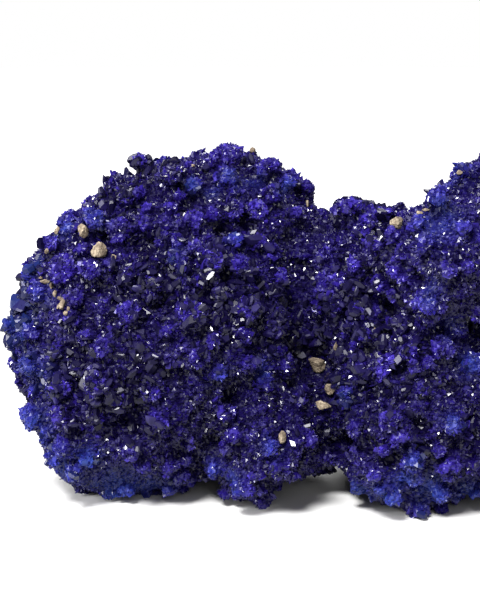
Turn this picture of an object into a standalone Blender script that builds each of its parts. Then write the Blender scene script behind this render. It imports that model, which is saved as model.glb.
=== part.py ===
"""Azurite crystal cluster with grains of host rock, about 97 mm long, 52 mm deep and 58 mm high.

A lumpy mass of azurite stands on the flat undersides of four low feet. It is one solid: rounded
lobes grown into each other, knobs and beads on them, pits and a deep cleft between them, and
crystals with flat faces all over. Grains of sandy host rock sit in pockets of the crust.

Lengths below are millimetres, with X along the mass, Y away from the front and Z up. The part's
origin is on the ground under the middle of the finished mass.
"""

import math

import bmesh
import bpy
import numpy as np
from mathutils import Matrix, Vector

MM = 0.001
SEED = 20

# The mass is drawn along rays that leave a level axis inside it
LENGTH = 97.0
HEIGHT = 58.0
FINISHED_MIDDLE = (-0.5, 1.25)
AXIS_HALF = 0.25 * LENGTH
AXIS_HEIGHT = 0.48 * HEIGHT

# The front view that places the named knobs and grains: its distance, its tilt and what it aims at
VIEW_DISTANCE = 238.0
VIEW_TILT = math.radians(10.0)
VIEW_TARGET = np.array([-10.2, 0.0, 32.7])
TOWARDS_VIEWER = np.array([0.0, -math.cos(VIEW_TILT), math.sin(VIEW_TILT)])

# Each lobe is a rounded swelling of the mass: its middle, then its half sizes
LOBES = {
    "left_mass": ((-23.1, 4.0, 26.6), (26.7, 22.5, 26.6)),
    "left_foot": ((-28.6, 3.2, 18.6), (18.2, 20.0, 20.4)),
    "left_heel": ((-34.2, 0.5, 10.0), (8.4, 13.5, 9.8)),
    "left_shoulder": ((-28.8, 7.0, 46.0), (7.7, 14.0, 7.8)),
    "rear_ridge": ((-15.0, 9.0, 36.4), (22.2, 17.0, 21.4)),
    "front_toe": ((-8.2, -2.5, 12.4), (8.8, 15.0, 13.0)),
    "toe_knuckle": ((-1.5, -9.0, 11.0), (5.3, 9.0, 5.6)),
    "cleft_floor": ((0.7, 3.0, 12.6), (8.0, 16.0, 10.6)),
    "saddle": ((10.7, 6.0, 31.6), (15.8, 19.0, 17.5)),
    "right_foot": ((18.4, -7.0, 18.4), (16.2, 15.0, 20.0)),
    "right_end": ((34.0, -1.2, 17.2), (14.2, 20.4, 17.8)),
    "right_mass": ((33.5, 4.0, 39.8), (14.5, 20.0, 16.3)),
    "right_waist": ((36.0, 1.0, 28.0), (12.0, 18.5, 13.0)),
    "right_brow": ((23.2, -13.0, 41.9), (10.3, 13.0, 10.0)),
    "right_crest": ((25.8, 10.0, 44.0), (3.8, 10.0, 7.8)),
    "rear_left_foot": ((-25.0, 12.0, 13.5), (14.0, 13.5, 15.0)),
    "rear_right_foot": ((22.0, 12.0, 14.5), (15.0, 13.5, 16.0)),
}
LOBE_BLEND = 1.1
SKIN_INSET = 1.1
FALL_OFF = 1.6

# Knobs that stand out of the outline in the front view: their place there, and their radius
KNOBS = (
    (-26.7, 54.9, 1.8), (-21.6, 52.7, 3.2), (-4.0, 52.0, 3.1), (0.2, 50.2, 2.3), (22.9, 48.3, 2.5),
    (8.4, 46.6, 2.5), (16.5, 47.8, 1.6), (27.8, 53.0, 2.3), (-41.8, 41.2, 2.1), (-35.4, 44.9, 2.5),
)

# Beads that the front view shows: distance right of the middle, height in the view, and radius
FRONT_BEADS = (
    (-26.7, 56.2, 1.5), (-21.4, 53.7, 2.2), (-12.7, 56.3, 3.4), (-5.7, 54.9, 2.4), (-2.0, 52.9, 1.8),
    (1.0, 51.3, 1.5), (-5.0, 50.3, 1.8), (-20.2, 49.7, 1.4), (-11.3, 47.7, 1.8), (-14.5, 47.0, 1.4),
    (-7.5, 47.6, 1.9), (-11.2, 43.0, 1.9), (-23.4, 42.8, 1.5), (-17.7, 41.4, 1.5), (-4.8, 40.6, 1.6),
    (0.0, 40.4, 1.4), (3.5, 40.2, 1.6), (-34.9, 46.0, 2.3), (-38.8, 44.8, 1.8), (-42.0, 42.0, 1.6),
    (-30.6, 44.3, 2.5), (-36.5, 41.4, 1.2), (-39.8, 37.8, 2.7), (-35.2, 37.9, 2.1), (-32.3, 38.6, 1.5),
    (-46.0, 37.3, 1.6), (-37.7, 32.9, 1.8), (-25.3, 34.5, 2.0), (-29.3, 49.5, 1.4), (-25.9, 48.0, 1.3),
    (-14.3, 36.3, 1.3), (-17.0, 36.0, 1.3), (3.2, 35.1, 2.2), (5.6, 35.0, 2.3), (8.8, 34.5, 1.7),
    (5.6, 32.0, 2.0), (2.2, 31.2, 1.5), (7.5, 32.6, 1.6), (-4.0, 33.5, 1.6), (8.4, 48.4, 2.0),
    (10.9, 45.5, 1.9), (10.0, 43.6, 1.9), (9.0, 38.5, 1.8), (15.2, 38.0, 1.9), (13.2, 41.6, 1.5),
    (16.3, 40.7, 1.5), (15.2, 43.7, 1.7), (12.8, 35.1, 1.8), (9.8, 30.7, 1.8), (12.1, 30.7, 1.6),
    (7.8, 28.3, 1.6), (10.5, 26.7, 1.2), (7.8, 25.0, 1.7), (24.3, 37.7, 1.9), (22.8, 50.2, 2.0),
    (6.9, 16.4, 2.3), (8.5, 11.3, 1.8), (16.3, 9.7, 1.7), (13.6, 7.3, 1.3), (18.6, 5.7, 2.1),
    (25.3, 12.0, 1.8), (28.5, 22.0, 2.2), (12.3, 3.4, 1.3), (13.2, 20.5, 1.5), (1.8, 9.6, 1.9),
    (-5.0, 8.0, 1.5), (-15.0, 4.5, 2.1), (-17.0, 23.0, 1.8), (-8.6, 21.8, 1.8), (-13.7, 20.6, 1.6),
    (-3.9, 24.4, 1.5), (-45.6, 21.5, 2.0), (-45.0, 27.0, 1.7), (-40.0, 12.8, 2.8), (-35.8, 5.9, 1.3),
    (-30.5, 16.0, 2.0), (-23.5, 13.0, 1.8), (-33.0, 24.5, 2.0), (21.5, 31.8, 3.2), (30.5, 31.0, 2.6),
)

# Pits that the front view shows: place as above, then radius and depth
FRONT_PITS = (
    (-26.2, 42.4, 1.7, 2.4), (-32.0, 46.8, 1.0, 1.4), (-22.9, 37.2, 1.8, 2.4), (-31.0, 32.7, 1.3, 1.8),
    (-17.0, 39.4, 1.2, 1.8), (-12.1, 37.2, 1.6, 2.4), (-0.8, 43.4, 1.6, 2.2), (-8.2, 39.6, 1.1, 1.5),
    (26.0, 49.8, 1.0, 2.0), (7.1, 40.4, 1.6, 2.4), (10.7, 36.2, 1.1, 2.0), (18.6, 36.0, 1.2, 2.0),
    (14.3, 31.7, 1.3, 2.4), (14.2, 28.0, 1.3, 2.4), (-22.6, 19.5, 1.6, 2.4), (-19.8, 19.3, 1.1, 1.8),
    (10.5, 24.1, 1.3, 2.4), (16.1, 21.2, 1.4, 1.8), (20.0, 11.5, 1.1, 2.2), (20.6, 7.5, 1.1, 2.0),
    (10.5, 7.8, 1.8, 2.0), (-37.6, 18.0, 1.3, 1.8), (-39.3, 36.8, 1.1, 1.6), (21.8, 46.8, 1.0, 1.6),
)

# The cleft between the two halves runs down the front through these places
CLEFT = (
    (-1.5, 42.5), (0.0, 37.0), (0.5, 29.0), (1.2, 24.0), (3.8, 18.0), (4.9, 13.0), (5.3, 8.5), (5.8, 4.0),
)
CLEFT_WIDTH = 2.3
CLEFT_DEPTHS = (1.0, 1.6, 2.6, 4.2, 5.0, 5.6, 6.0, 6.0)
PITS_PER_STEP = 4

# Mounds, beads and pits that cover the rest of the mass
MOUND_COUNT = 90
MOUND_RADIUS = (3.6, 6.4)
MOUND_SUNK = 0.78
RIM_MOUND_SUNK = 0.9
BEAD_COUNT = 900
BEAD_RADIUS = (1.3, 2.9)
BEADS_APART = 0.72
BEAD_RISE = 0.75
RIM_BEAD_SHARE = 0.6
RIM_SLOPE = 0.35
PIT_COUNT = 80
PIT_RADIUS = (1.1, 2.2)
PIT_DEPTH = (1.0, 2.4)
GOLDEN_ANGLE = math.pi * (3.0 - math.sqrt(5.0))
SLOPE_STEP = 0.004
RAY_COUNT = 24000
SAME_PLACE = 0.5

# The finished surface: rays per sphere, triangles kept, and crystals grown from them
RAY_SUBDIVISIONS = 7
NET_SIZE = 0.6
SMOOTHING_PASSES = 2
KEPT_TRIANGLES = 3900
LONG_EDGE = 5.8
MIDDLE_MOVE = (-0.3, 0.6)
CRYSTAL_SHARE = 0.26
BLADE_SHARE = 0.18
SMALLEST_BASE = 0.6
LARGEST_BASE = 6.0
CRYSTAL_RISE = (0.40, 0.85)
CRYSTAL_LEAN = 0.35
BLADE_RISE = (0.45, 0.80)
BLADE_TOP = (0.62, 0.16)
CLEAR_OF_GROUND = 2.2

# Grains of host rock in the crust: place in the front view, then width, height and thickness
GRAINS = {
    "host_rock_grain_upper_left": (-33.5, 41.3, 2.9, 2.7, 2.0),
    "host_rock_grain_oval": (-36.3, 44.0, 1.5, 2.6, 1.6),
    "host_rock_grain_cleft_top": (2.5, 22.2, 2.7, 2.6, 2.4),
    "host_rock_grain_cleft_middle": (4.8, 18.0, 1.8, 1.9, 1.8),
    "host_rock_grain_cleft_low": (3.4, 15.0, 2.6, 1.6, 1.8),
    "host_rock_grain_toe": (-3.3, 10.0, 1.4, 1.8, 1.6),
    "host_rock_grain_saddle": (16.0, 45.6, 2.7, 2.0, 2.0),
}
GRAIN_ROUGHNESS = 0.10
GRAIN_SUNK = 0.15
SOCKET_GAP = 0.3
SOCKET_KEEP_OUT = 2.4


def clear_scene():
    """Removes every object that the scene starts with."""
    for thing in list(bpy.data.objects):
        bpy.data.objects.remove(thing, do_unlink=True)


def make_collection(name):
    collection = bpy.data.collections.new(name)
    bpy.context.scene.collection.children.link(collection)
    return collection


def make_material(name, colour, roughness, metallic=0.0):
    material = bpy.data.materials.new(name)
    material.use_nodes = True
    shader = material.node_tree.nodes["Principled BSDF"]
    shader.inputs["Base Color"].default_value = (*colour, 1.0)
    shader.inputs["Roughness"].default_value = roughness
    shader.inputs["Metallic"].default_value = metallic
    return material


def add_object(name, bm, material, collection):
    """Turns a bmesh in millimetres into an object in metres, over the finished middle."""
    mesh = bpy.data.meshes.new(name)
    bmesh.ops.translate(bm, vec=(-FINISHED_MIDDLE[0], -FINISHED_MIDDLE[1], 0.0), verts=bm.verts)
    bmesh.ops.scale(bm, vec=(MM, MM, MM), verts=bm.verts)
    bm.to_mesh(mesh)
    bm.free()
    mesh.materials.append(material)
    thing = bpy.data.objects.new(name, mesh)
    collection.objects.link(thing)
    return thing


# The rays and the solids that they leave


def ray_starts(directions):
    """Each ray leaves the level axis at a place that follows its own lean along X."""
    starts = np.zeros_like(directions)
    starts[:, 0] = AXIS_HALF * directions[:, 0]
    starts[:, 2] = AXIS_HEIGHT
    return starts


def exit_distance(starts, directions, centre, half_sizes):
    """How far each ray runs before it leaves an ellipsoid: the larger root of the quadratic that
    puts start plus distance times direction on the ellipsoid. A ray that misses falls off behind
    the ellipsoid's rim, faster the wider it misses."""
    start = (starts - np.asarray(centre)) / half_sizes
    step = directions / half_sizes
    a = (step * step).sum(axis=1)
    b = (start * step).sum(axis=1)
    c = (start * start).sum(axis=1) - 1.0
    under_root = b * b - a * c
    root = np.sqrt(np.abs(under_root))
    return np.where(under_root > 0.0, root - b, -FALL_OFF * root - b) / a


def smooth_max(distances, blend):
    """The largest of several distances, rounded where two are close: blend times the logarithm
    of the sum of exp(distance / blend)."""
    stack = np.array(distances)
    top = stack.max(axis=0)
    return top + blend * np.log(np.exp((stack - top) / blend).sum(axis=0))


def ripple(points, rng, length, height, count=12):
    """Uneven ground: a sum of sine waves of about one length, in seeded directions."""
    waves = rng.normal(size=(count, 3))
    waves /= np.linalg.norm(waves, axis=1)[:, None]
    waves *= 2.0 * math.pi / (length * rng.uniform(0.7, 1.4, size=(count, 1)))
    phases = rng.uniform(0.0, 2.0 * math.pi, size=count)
    return height * np.sin(points @ waves.T + phases).sum(axis=1) / math.sqrt(count / 2.0)


def spread_directions(count, rng, jitter=0.35):
    """Directions spread evenly over a sphere on a golden-angle spiral, each moved a little."""
    steps = np.arange(count) + 0.5
    height = 1.0 - 2.0 * steps / count
    around = GOLDEN_ANGLE * steps
    radius = np.sqrt(1.0 - height * height)
    directions = np.stack([radius * np.cos(around), radius * np.sin(around), height], axis=1)
    directions += rng.normal(size=(count, 3)) * jitter * math.sqrt(4.0 / count)
    return directions / np.linalg.norm(directions, axis=1)[:, None]


def seen_at(points):
    """Where the front view shows each point: right of the middle of the mass, and up from its
    foot, both measured at the distance of the view's target."""
    up = np.array([0.0, math.sin(VIEW_TILT), math.cos(VIEW_TILT)])
    away = -TOWARDS_VIEWER
    offset = points - VIEW_TARGET
    scale = VIEW_DISTANCE / (VIEW_DISTANCE + offset @ away)
    right = offset[:, 0] * scale + VIEW_TARGET[0]
    height = (offset @ up) * scale + VIEW_TARGET[2] * math.cos(VIEW_TILT)
    return np.stack([right, height], axis=1)


def lobe_skin(directions):
    """Where each ray leaves the lobes' common skin, with its ground made uneven."""
    starts = ray_starts(directions)
    parts = [exit_distance(starts, directions, *lobe) for lobe in LOBES.values()]
    distance = smooth_max(parts, LOBE_BLEND)
    points = starts + directions * distance[:, None]
    rng = np.random.default_rng(SEED + 1)
    uneven = ripple(points, rng, 17.0, 0.45) + ripple(points, rng, 7.0, 0.28)
    return starts, distance + uneven - SKIN_INSET


class FrontView:
    """The side of a surface that the front view shows, to place things where it shows them."""

    def __init__(self, points, normals):
        facing = np.nonzero(normals @ TOWARDS_VIEWER > 0.0)[0]
        self.points = points[facing]
        self.normals = normals[facing]
        self.nearness = self.points @ TOWARDS_VIEWER
        self.seen = seen_at(self.points)

    def place(self, right, height):
        """The point that the view shows at a place, and its normal: of the points that seem close
        to the place, the one nearest the viewer, moved level with the view onto the place."""
        miss = self.seen - np.array([right, height])
        apart = np.hypot(miss[:, 0], miss[:, 1])
        index = np.argmax(np.where(apart < apart.min() + SAME_PLACE, self.nearness, -np.inf))
        point = self.points[index].copy()
        point[0] -= miss[index, 0]
        point[2] -= miss[index, 1] / math.cos(VIEW_TILT)
        return point, self.normals[index]


class Skin:
    """The rounded mass without its small relief: lobes, with mounds grown on them."""

    def __init__(self):
        self.rays = spread_directions(RAY_COUNT, np.random.default_rng(SEED), jitter=0.0)
        self.balls = []
        self.refresh()
        self.balls = self.mounds()
        self.refresh()
        self.balls += [(self.front.place(right, height)[0], radius) for right, height, radius in KNOBS]
        self.refresh()

    def refresh(self):
        """Samples the skin as it now is, with the area that each sample stands for."""
        self.points, self.normals, areas = self.surface(self.rays)
        self.chances = areas / areas.sum()
        self.front = FrontView(self.points, self.normals)

    def at(self, directions):
        starts, distance = lobe_skin(directions)
        balls = [exit_distance(starts, directions, *ball) for ball in self.balls]
        distance = smooth_max([distance, *balls], LOBE_BLEND / 2.0)
        return starts + directions * distance[:, None]

    def surface(self, directions):
        """The skin's points, its outward normals, which are square to the slopes towards two rays
        close by, and the area between those slopes."""
        points = self.at(directions)
        aside = np.cross(directions, np.roll(directions, 1, axis=1) + 0.1)
        aside /= np.linalg.norm(aside, axis=1)[:, None]
        above = np.cross(directions, aside)
        slopes = []
        for step in (aside, above):
            near = directions + SLOPE_STEP * step
            slopes.append(self.at(near / np.linalg.norm(near, axis=1)[:, None]) - points)
        normals = np.cross(*slopes)
        areas = np.linalg.norm(normals, axis=1)
        return points, normals / areas[:, None], areas

    def spread(self, count, rng):
        """Numbers of samples drawn evenly over the skin's area."""
        return rng.choice(len(self.points), size=count, replace=False, p=self.chances)

    def on_rim(self, index):
        """Whether a sample lies where the front view sees the skin edge on."""
        return abs(self.normals[index] @ TOWARDS_VIEWER) < RIM_SLOPE

    def mounds(self):
        rng = np.random.default_rng(SEED + 3)
        balls = []
        for index in self.spread(MOUND_COUNT, rng):
            radius = rng.uniform(*MOUND_RADIUS)
            sunk = RIM_MOUND_SUNK if self.on_rim(index) else MOUND_SUNK
            balls.append((self.points[index] - self.normals[index] * radius * sunk, radius))
        return balls


def cleft_pits(skin):
    """The cleft as a row of overlapping wells between its corner places."""
    pits = []
    for first in range(len(CLEFT) - 1):
        for step in range(PITS_PER_STEP):
            share = step / PITS_PER_STEP
            right, height = (
                CLEFT[first][axis] * (1.0 - share) + CLEFT[first + 1][axis] * share for axis in (0, 1)
            )
            depth = CLEFT_DEPTHS[first] * (1.0 - share) + CLEFT_DEPTHS[first + 1] * share
            pits.append((skin.front.place(right, height)[0], CLEFT_WIDTH, depth))
    return pits


def all_pits(skin):
    pits = [
        (skin.front.place(right, height)[0], radius, depth) for right, height, radius, depth in FRONT_PITS
    ]
    pits += cleft_pits(skin)
    rng = np.random.default_rng(SEED + 2)
    for index in skin.spread(PIT_COUNT, rng):
        pits.append((skin.points[index], rng.uniform(*PIT_RADIUS), rng.uniform(*PIT_DEPTH)))
    return pits


def all_beads(skin, pits):
    """The named beads of the front, and seeded ones over the rest that leave the pits open."""
    beads = [(skin.front.place(right, height)[0], radius) for right, height, radius in FRONT_BEADS]
    rng = np.random.default_rng(SEED + 4)
    for index in skin.spread(BEAD_COUNT, rng):
        centre = skin.points[index]
        radius = BEAD_RADIUS[0] + (BEAD_RADIUS[1] - BEAD_RADIUS[0]) * rng.random() ** 2
        if skin.on_rim(index):
            radius *= RIM_BEAD_SHARE
        crowded = any(
            np.linalg.norm(centre - other) < BEADS_APART * (radius + reach) for other, reach in beads
        )
        in_pit = any(np.linalg.norm(centre - other) < width + 0.4 * radius for other, width, _ in pits)
        if not crowded and not in_pit:
            beads.append((centre, radius))
    return beads


def relief(points, beads, pits):
    """How far the skin is moved out at each point: the highest bead over it, each a dome whose
    height is its rise times the root of one less the squared share of its radius, less the
    deepest pit, each a well that fades as a bell curve."""
    raised = np.zeros(len(points))
    for centre, radius in beads:
        gap = points - centre
        share = (gap * gap).sum(axis=1) / (radius * radius)
        raised = np.maximum(raised, BEAD_RISE * radius * np.sqrt(np.maximum(1.0 - share, 0.0)))
    lowered = np.zeros(len(points))
    for centre, radius, depth in pits:
        gap = points - centre
        lowered = np.maximum(lowered, depth * np.exp(-(gap * gap).sum(axis=1) / (radius * radius)))
    return raised - lowered


# The solid mass and its crystals


def skin_ball(skin):
    """A fine ball whose points are moved out to the skin."""
    bm = bmesh.new()
    bmesh.ops.create_icosphere(bm, subdivisions=RAY_SUBDIVISIONS, radius=1.0)
    directions = np.array([vert.co.normalized() for vert in bm.verts])
    for vert, point in zip(bm.verts, skin.at(directions)):
        vert.co = point
    return bm


def modified(bm, kind, **settings):
    """The same surface as one modifier leaves it."""
    mesh = bpy.data.meshes.new("surface")
    bm.to_mesh(mesh)
    bm.free()
    thing = bpy.data.objects.new("surface", mesh)
    bpy.context.scene.collection.objects.link(thing)
    modifier = thing.modifiers.new(kind.lower(), kind)
    for name, value in settings.items():
        setattr(modifier, name, value)
    evaluated = thing.evaluated_get(bpy.context.evaluated_depsgraph_get())
    result = bmesh.new()
    result.from_mesh(evaluated.to_mesh())
    evaluated.to_mesh_clear()
    bpy.data.objects.remove(thing, do_unlink=True)
    return result


def even_net(bm, smoothing_passes=0):
    """The same surface on a net of even mesh, with its folds taken out."""
    even = modified(bm, "REMESH", mode="VOXEL", voxel_size=NET_SIZE)
    for _ in range(smoothing_passes):
        bmesh.ops.smooth_vert(
            even, verts=even.verts, factor=0.5, use_axis_x=True, use_axis_y=True, use_axis_z=True
        )
    return even


def points_and_normals(bm):
    bm.normal_update()
    return np.array([vert.co for vert in bm.verts]), np.array([vert.normal for vert in bm.verts])


def crust_net(skin, beads, pits):
    """The skin with its relief: every point moves along its normal, out over the beads and in at
    the pits."""
    net = even_net(skin_ball(skin), SMOOTHING_PASSES)
    points, normals = points_and_normals(net)
    points += normals * relief(points, beads, pits)[:, None]
    for vert, point in zip(net.verts, points):
        vert.co = point
    return even_net(net)


def thinned(bm):
    """The surface with few triangles, which keep to its creases. Where that leaves a long edge,
    its middle is moved in or out, so that no stretch of the crust is smooth."""
    bmesh.ops.triangulate(bm, faces=bm.faces[:])
    few = modified(bm, "DECIMATE", ratio=KEPT_TRIANGLES / len(bm.faces))
    long_edges = [edge for edge in few.edges if edge.calc_length() > LONG_EDGE]
    made = bmesh.ops.subdivide_edges(few, edges=long_edges, cuts=1)
    bmesh.ops.triangulate(few, faces=few.faces[:])
    few.normal_update()
    rng = np.random.default_rng(SEED + 6)
    for vert in [item for item in made["geom_inner"] if isinstance(item, bmesh.types.BMVert)]:
        vert.co += vert.normal * rng.uniform(*MIDDLE_MOVE)
    return few


def cut_flat_feet(bm):
    """Cuts the feet off level with the ground, so that the mass rests on flat faces."""
    geometry = bm.verts[:] + bm.edges[:] + bm.faces[:]
    bmesh.ops.bisect_plane(bm, geom=geometry, plane_co=(0, 0, 0), plane_no=(0, 0, 1), clear_inner=True)
    rims = [edge for edge in bm.edges if edge.is_boundary]
    bmesh.ops.holes_fill(bm, edges=rims, sides=0)
    bmesh.ops.triangulate(bm, faces=bm.faces[:])


def keep_one_body(bm):
    """Removes the crumbs that the level cut may leave beside a foot."""
    left = set(bm.verts)
    bodies = []
    while left:
        reached = [left.pop()]
        for vert in reached:
            nearby = {edge.other_vert(vert) for edge in vert.link_edges} & left
            left -= nearby
            reached += nearby
        bodies.append(reached)
    bodies.sort(key=len)
    crumbs = [vert for body in bodies[:-1] for vert in body]
    bmesh.ops.delete(bm, geom=crumbs, context="VERTS")


def crystal_bases(bm, grain_places, rng):
    """Faces that a crystal may grow from: no two share an edge, and none is by a foot or a grain."""
    faces = [face for face in bm.faces if SMALLEST_BASE < face.calc_area() < LARGEST_BASE]
    wanted = int(CRYSTAL_SHARE * len(faces))
    chosen, taken = [], set()
    for index in rng.permutation(len(faces)):
        face = faces[index]
        middle = face.calc_center_median()
        low = middle.z < CLEAR_OF_GROUND
        by_grain = any((middle - place).length < reach for place, reach in grain_places)
        neighbours = {other.index for edge in face.edges for other in edge.link_faces}
        if low or by_grain or neighbours & taken:
            continue
        taken.add(face.index)
        chosen.append(face)
        if len(chosen) == wanted:
            break
    return chosen


def leaning_normal(face, rng):
    lean = Vector(rng.normal(size=3)) * CRYSTAL_LEAN
    return (face.normal + lean).normalized()


def grow_points(bm, faces, rng):
    """Sharp three-sided crystals: a face is split at its middle, which rises to a tip."""
    for face in faces:
        rise = math.sqrt(face.calc_area()) * rng.uniform(*CRYSTAL_RISE)
        direction = leaning_normal(face, rng) * rise
        tip = bmesh.ops.poke(bm, faces=[face])["verts"][0]
        tip.co += direction


def grow_blades(bm, faces, rng):
    """Blades with a chisel edge: a face is raised, and its top is drawn in most across one side."""
    for face in faces:
        rise = math.sqrt(face.calc_area()) * rng.uniform(*BLADE_RISE)
        direction = leaning_normal(face, rng) * rise
        along = (face.verts[1].co - face.verts[0].co).normalized()
        across = face.normal.cross(along)
        top = bmesh.ops.extrude_discrete_faces(bm, faces=[face])["faces"][0]
        middle = top.calc_center_median()
        for vert in top.verts:
            offset = vert.co - middle
            drawn_in = along * offset.dot(along) * BLADE_TOP[0] + across * offset.dot(across) * BLADE_TOP[1]
            vert.co = middle + drawn_in + direction


def grain_frame(view, right, height, width, tall, thick):
    """Where a grain sits: on the relief, turned to lie flat on it, with its own half sizes."""
    point, normal = view.place(right, height)
    outward = Vector(normal)
    side = outward.cross(Vector((0, 0, 1))).normalized()
    up = side.cross(outward)
    turn = Matrix((side, outward, up)).transposed()
    middle = Vector(point) - outward * thick * GRAIN_SUNK
    return middle, turn, Vector((width / 2.0, thick / 2.0, tall / 2.0))


def grain_shape(frame, seed, extra):
    """A worn, angular grain: a ball of flat faces, pushed in and out, grown by extra all round."""
    middle, turn, half_sizes = frame
    rng = np.random.default_rng(seed)
    bm = bmesh.new()
    bmesh.ops.create_icosphere(bm, subdivisions=2, radius=1.0)
    for vert in bm.verts:
        push = 1.0 + GRAIN_ROUGHNESS * rng.normal()
        reach = Vector([half * push + extra for half in half_sizes])
        vert.co = Vector([co * size for co, size in zip(vert.co, reach)])
    bmesh.ops.transform(bm, matrix=Matrix.Translation(middle) @ turn.to_4x4(), verts=bm.verts)
    return bm


def make_cluster(net, frames, material, collection):
    """The azurite mass: its crust with few triangles, flat feet, and crystals grown from its faces."""
    bm = thinned(net)
    cut_flat_feet(bm)
    keep_one_body(bm)
    bm.faces.index_update()
    rng = np.random.default_rng(SEED + 5)
    grain_places = [(frame[0], max(frame[2]) + SOCKET_KEEP_OUT) for frame in frames.values()]
    bases = crystal_bases(bm, grain_places, rng)
    blades = int(BLADE_SHARE * len(bases))
    grow_blades(bm, bases[:blades], rng)
    grow_points(bm, bases[blades:], rng)
    bmesh.ops.triangulate(bm, faces=bm.faces[:])
    bmesh.ops.recalc_face_normals(bm, faces=bm.faces[:])
    return add_object("azurite_cluster", bm, material, collection)


def cut_socket(cluster, frame, seed, cutters):
    """A pocket in the crust, a little larger all round than the grain that sits in it."""
    hole = grain_shape(frame, seed, SOCKET_GAP)
    cutter = add_object("socket_cutter", hole, cluster.data.materials[0], cutters)
    cutter.hide_render = True
    cutter.display_type = "WIRE"
    cut = cluster.modifiers.new("socket", "BOOLEAN")
    cut.operation = "DIFFERENCE"
    cut.solver = "EXACT"
    cut.object = cutter


def main():
    clear_scene()
    parts = make_collection("azurite_crystal_cluster")
    cutters = make_collection("cutters")
    azurite = make_material("azurite", (0.035, 0.014, 0.33), 0.28)
    host_rock = make_material("host_rock", (0.52, 0.37, 0.21), 0.85)

    skin = Skin()
    pits = all_pits(skin)
    beads = all_beads(skin, pits)
    net = crust_net(skin, beads, pits)
    view = FrontView(*points_and_normals(net))
    frames = {name: grain_frame(view, *sizes) for name, sizes in GRAINS.items()}
    cluster = make_cluster(net, frames, azurite, parts)
    for number, (name, frame) in enumerate(frames.items()):
        add_object(name, grain_shape(frame, SEED + 10 + number, 0.0), host_rock, parts)
        cut_socket(cluster, frame, SEED + 10 + number, cutters)


main()
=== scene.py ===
"""The look of an azurite crystal cluster: its crust of fine druse, the crystals that stand in it, and
the grains of sandy host rock caught in its pockets.

Lengths inside the shape functions are millimetres, in the drawing's own place. make_mesh moves
them over the finished middle and into metres. The settings that a user would change are in metres.
"""

import functools
import itertools
import math

import bpy
import numpy as np
from bpy.props import FloatProperty, FloatVectorProperty, IntProperty, PointerProperty
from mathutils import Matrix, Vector


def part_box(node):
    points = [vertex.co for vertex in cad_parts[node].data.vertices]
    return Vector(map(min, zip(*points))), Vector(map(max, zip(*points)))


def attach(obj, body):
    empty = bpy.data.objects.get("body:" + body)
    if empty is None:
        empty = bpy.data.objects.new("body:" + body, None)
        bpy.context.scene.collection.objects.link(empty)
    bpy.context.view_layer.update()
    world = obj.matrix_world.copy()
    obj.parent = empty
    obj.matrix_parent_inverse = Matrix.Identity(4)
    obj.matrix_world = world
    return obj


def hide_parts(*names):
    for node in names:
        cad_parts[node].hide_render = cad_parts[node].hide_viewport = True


bl_info = {
    "name": "Azurite crystal cluster",
    "version": (1, 0, 0),
    "blender": (4, 5, 0),
    "location": "View3D > Sidebar > Azurite",
    "description": "Builds an azurite crystal cluster with its crust, crystals and host rock",
    "category": "Object",
}

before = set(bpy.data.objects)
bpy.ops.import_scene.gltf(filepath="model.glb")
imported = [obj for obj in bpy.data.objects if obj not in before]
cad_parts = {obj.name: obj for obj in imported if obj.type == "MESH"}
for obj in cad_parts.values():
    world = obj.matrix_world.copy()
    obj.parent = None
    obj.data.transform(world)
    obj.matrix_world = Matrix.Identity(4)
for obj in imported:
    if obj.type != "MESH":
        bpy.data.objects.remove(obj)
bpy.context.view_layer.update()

MM = 0.001
LEAST_LENGTH = 1e-9
WHITE = (1.0, 1.0, 1.0, 1.0)

# Each use of seeded numbers has its own step from the common seed
SEED = 20
SEED_STEPS = {
    "ground": 1, "pits": 2, "mounds": 3, "beads": 4, "spots": 7, "knobs": 8, "druse": 30,
    "crystals": 31, "grain": 40, "crumbs": 60, "crumb": 70,
}

# The mass as it is drawn, its middle once it is finished, and the level axis inside it that its
# rays leave
LENGTH = 97.0
HEIGHT = 58.0
FINISHED_MIDDLE = np.array([-0.5, 1.25, 0.0])
AXIS_HALF = 0.25 * LENGTH
AXIS_HEIGHT = 0.48 * HEIGHT

# The front view that places the named knobs and grains: its distance, its tilt and what it aims at
VIEW_DISTANCE = 238.0
VIEW_TILT = math.radians(10.0)
VIEW_TARGET = np.array([-10.2, 0.0, 32.7])
TOWARDS_VIEWER = np.array([0.0, -math.cos(VIEW_TILT), math.sin(VIEW_TILT)])

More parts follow.
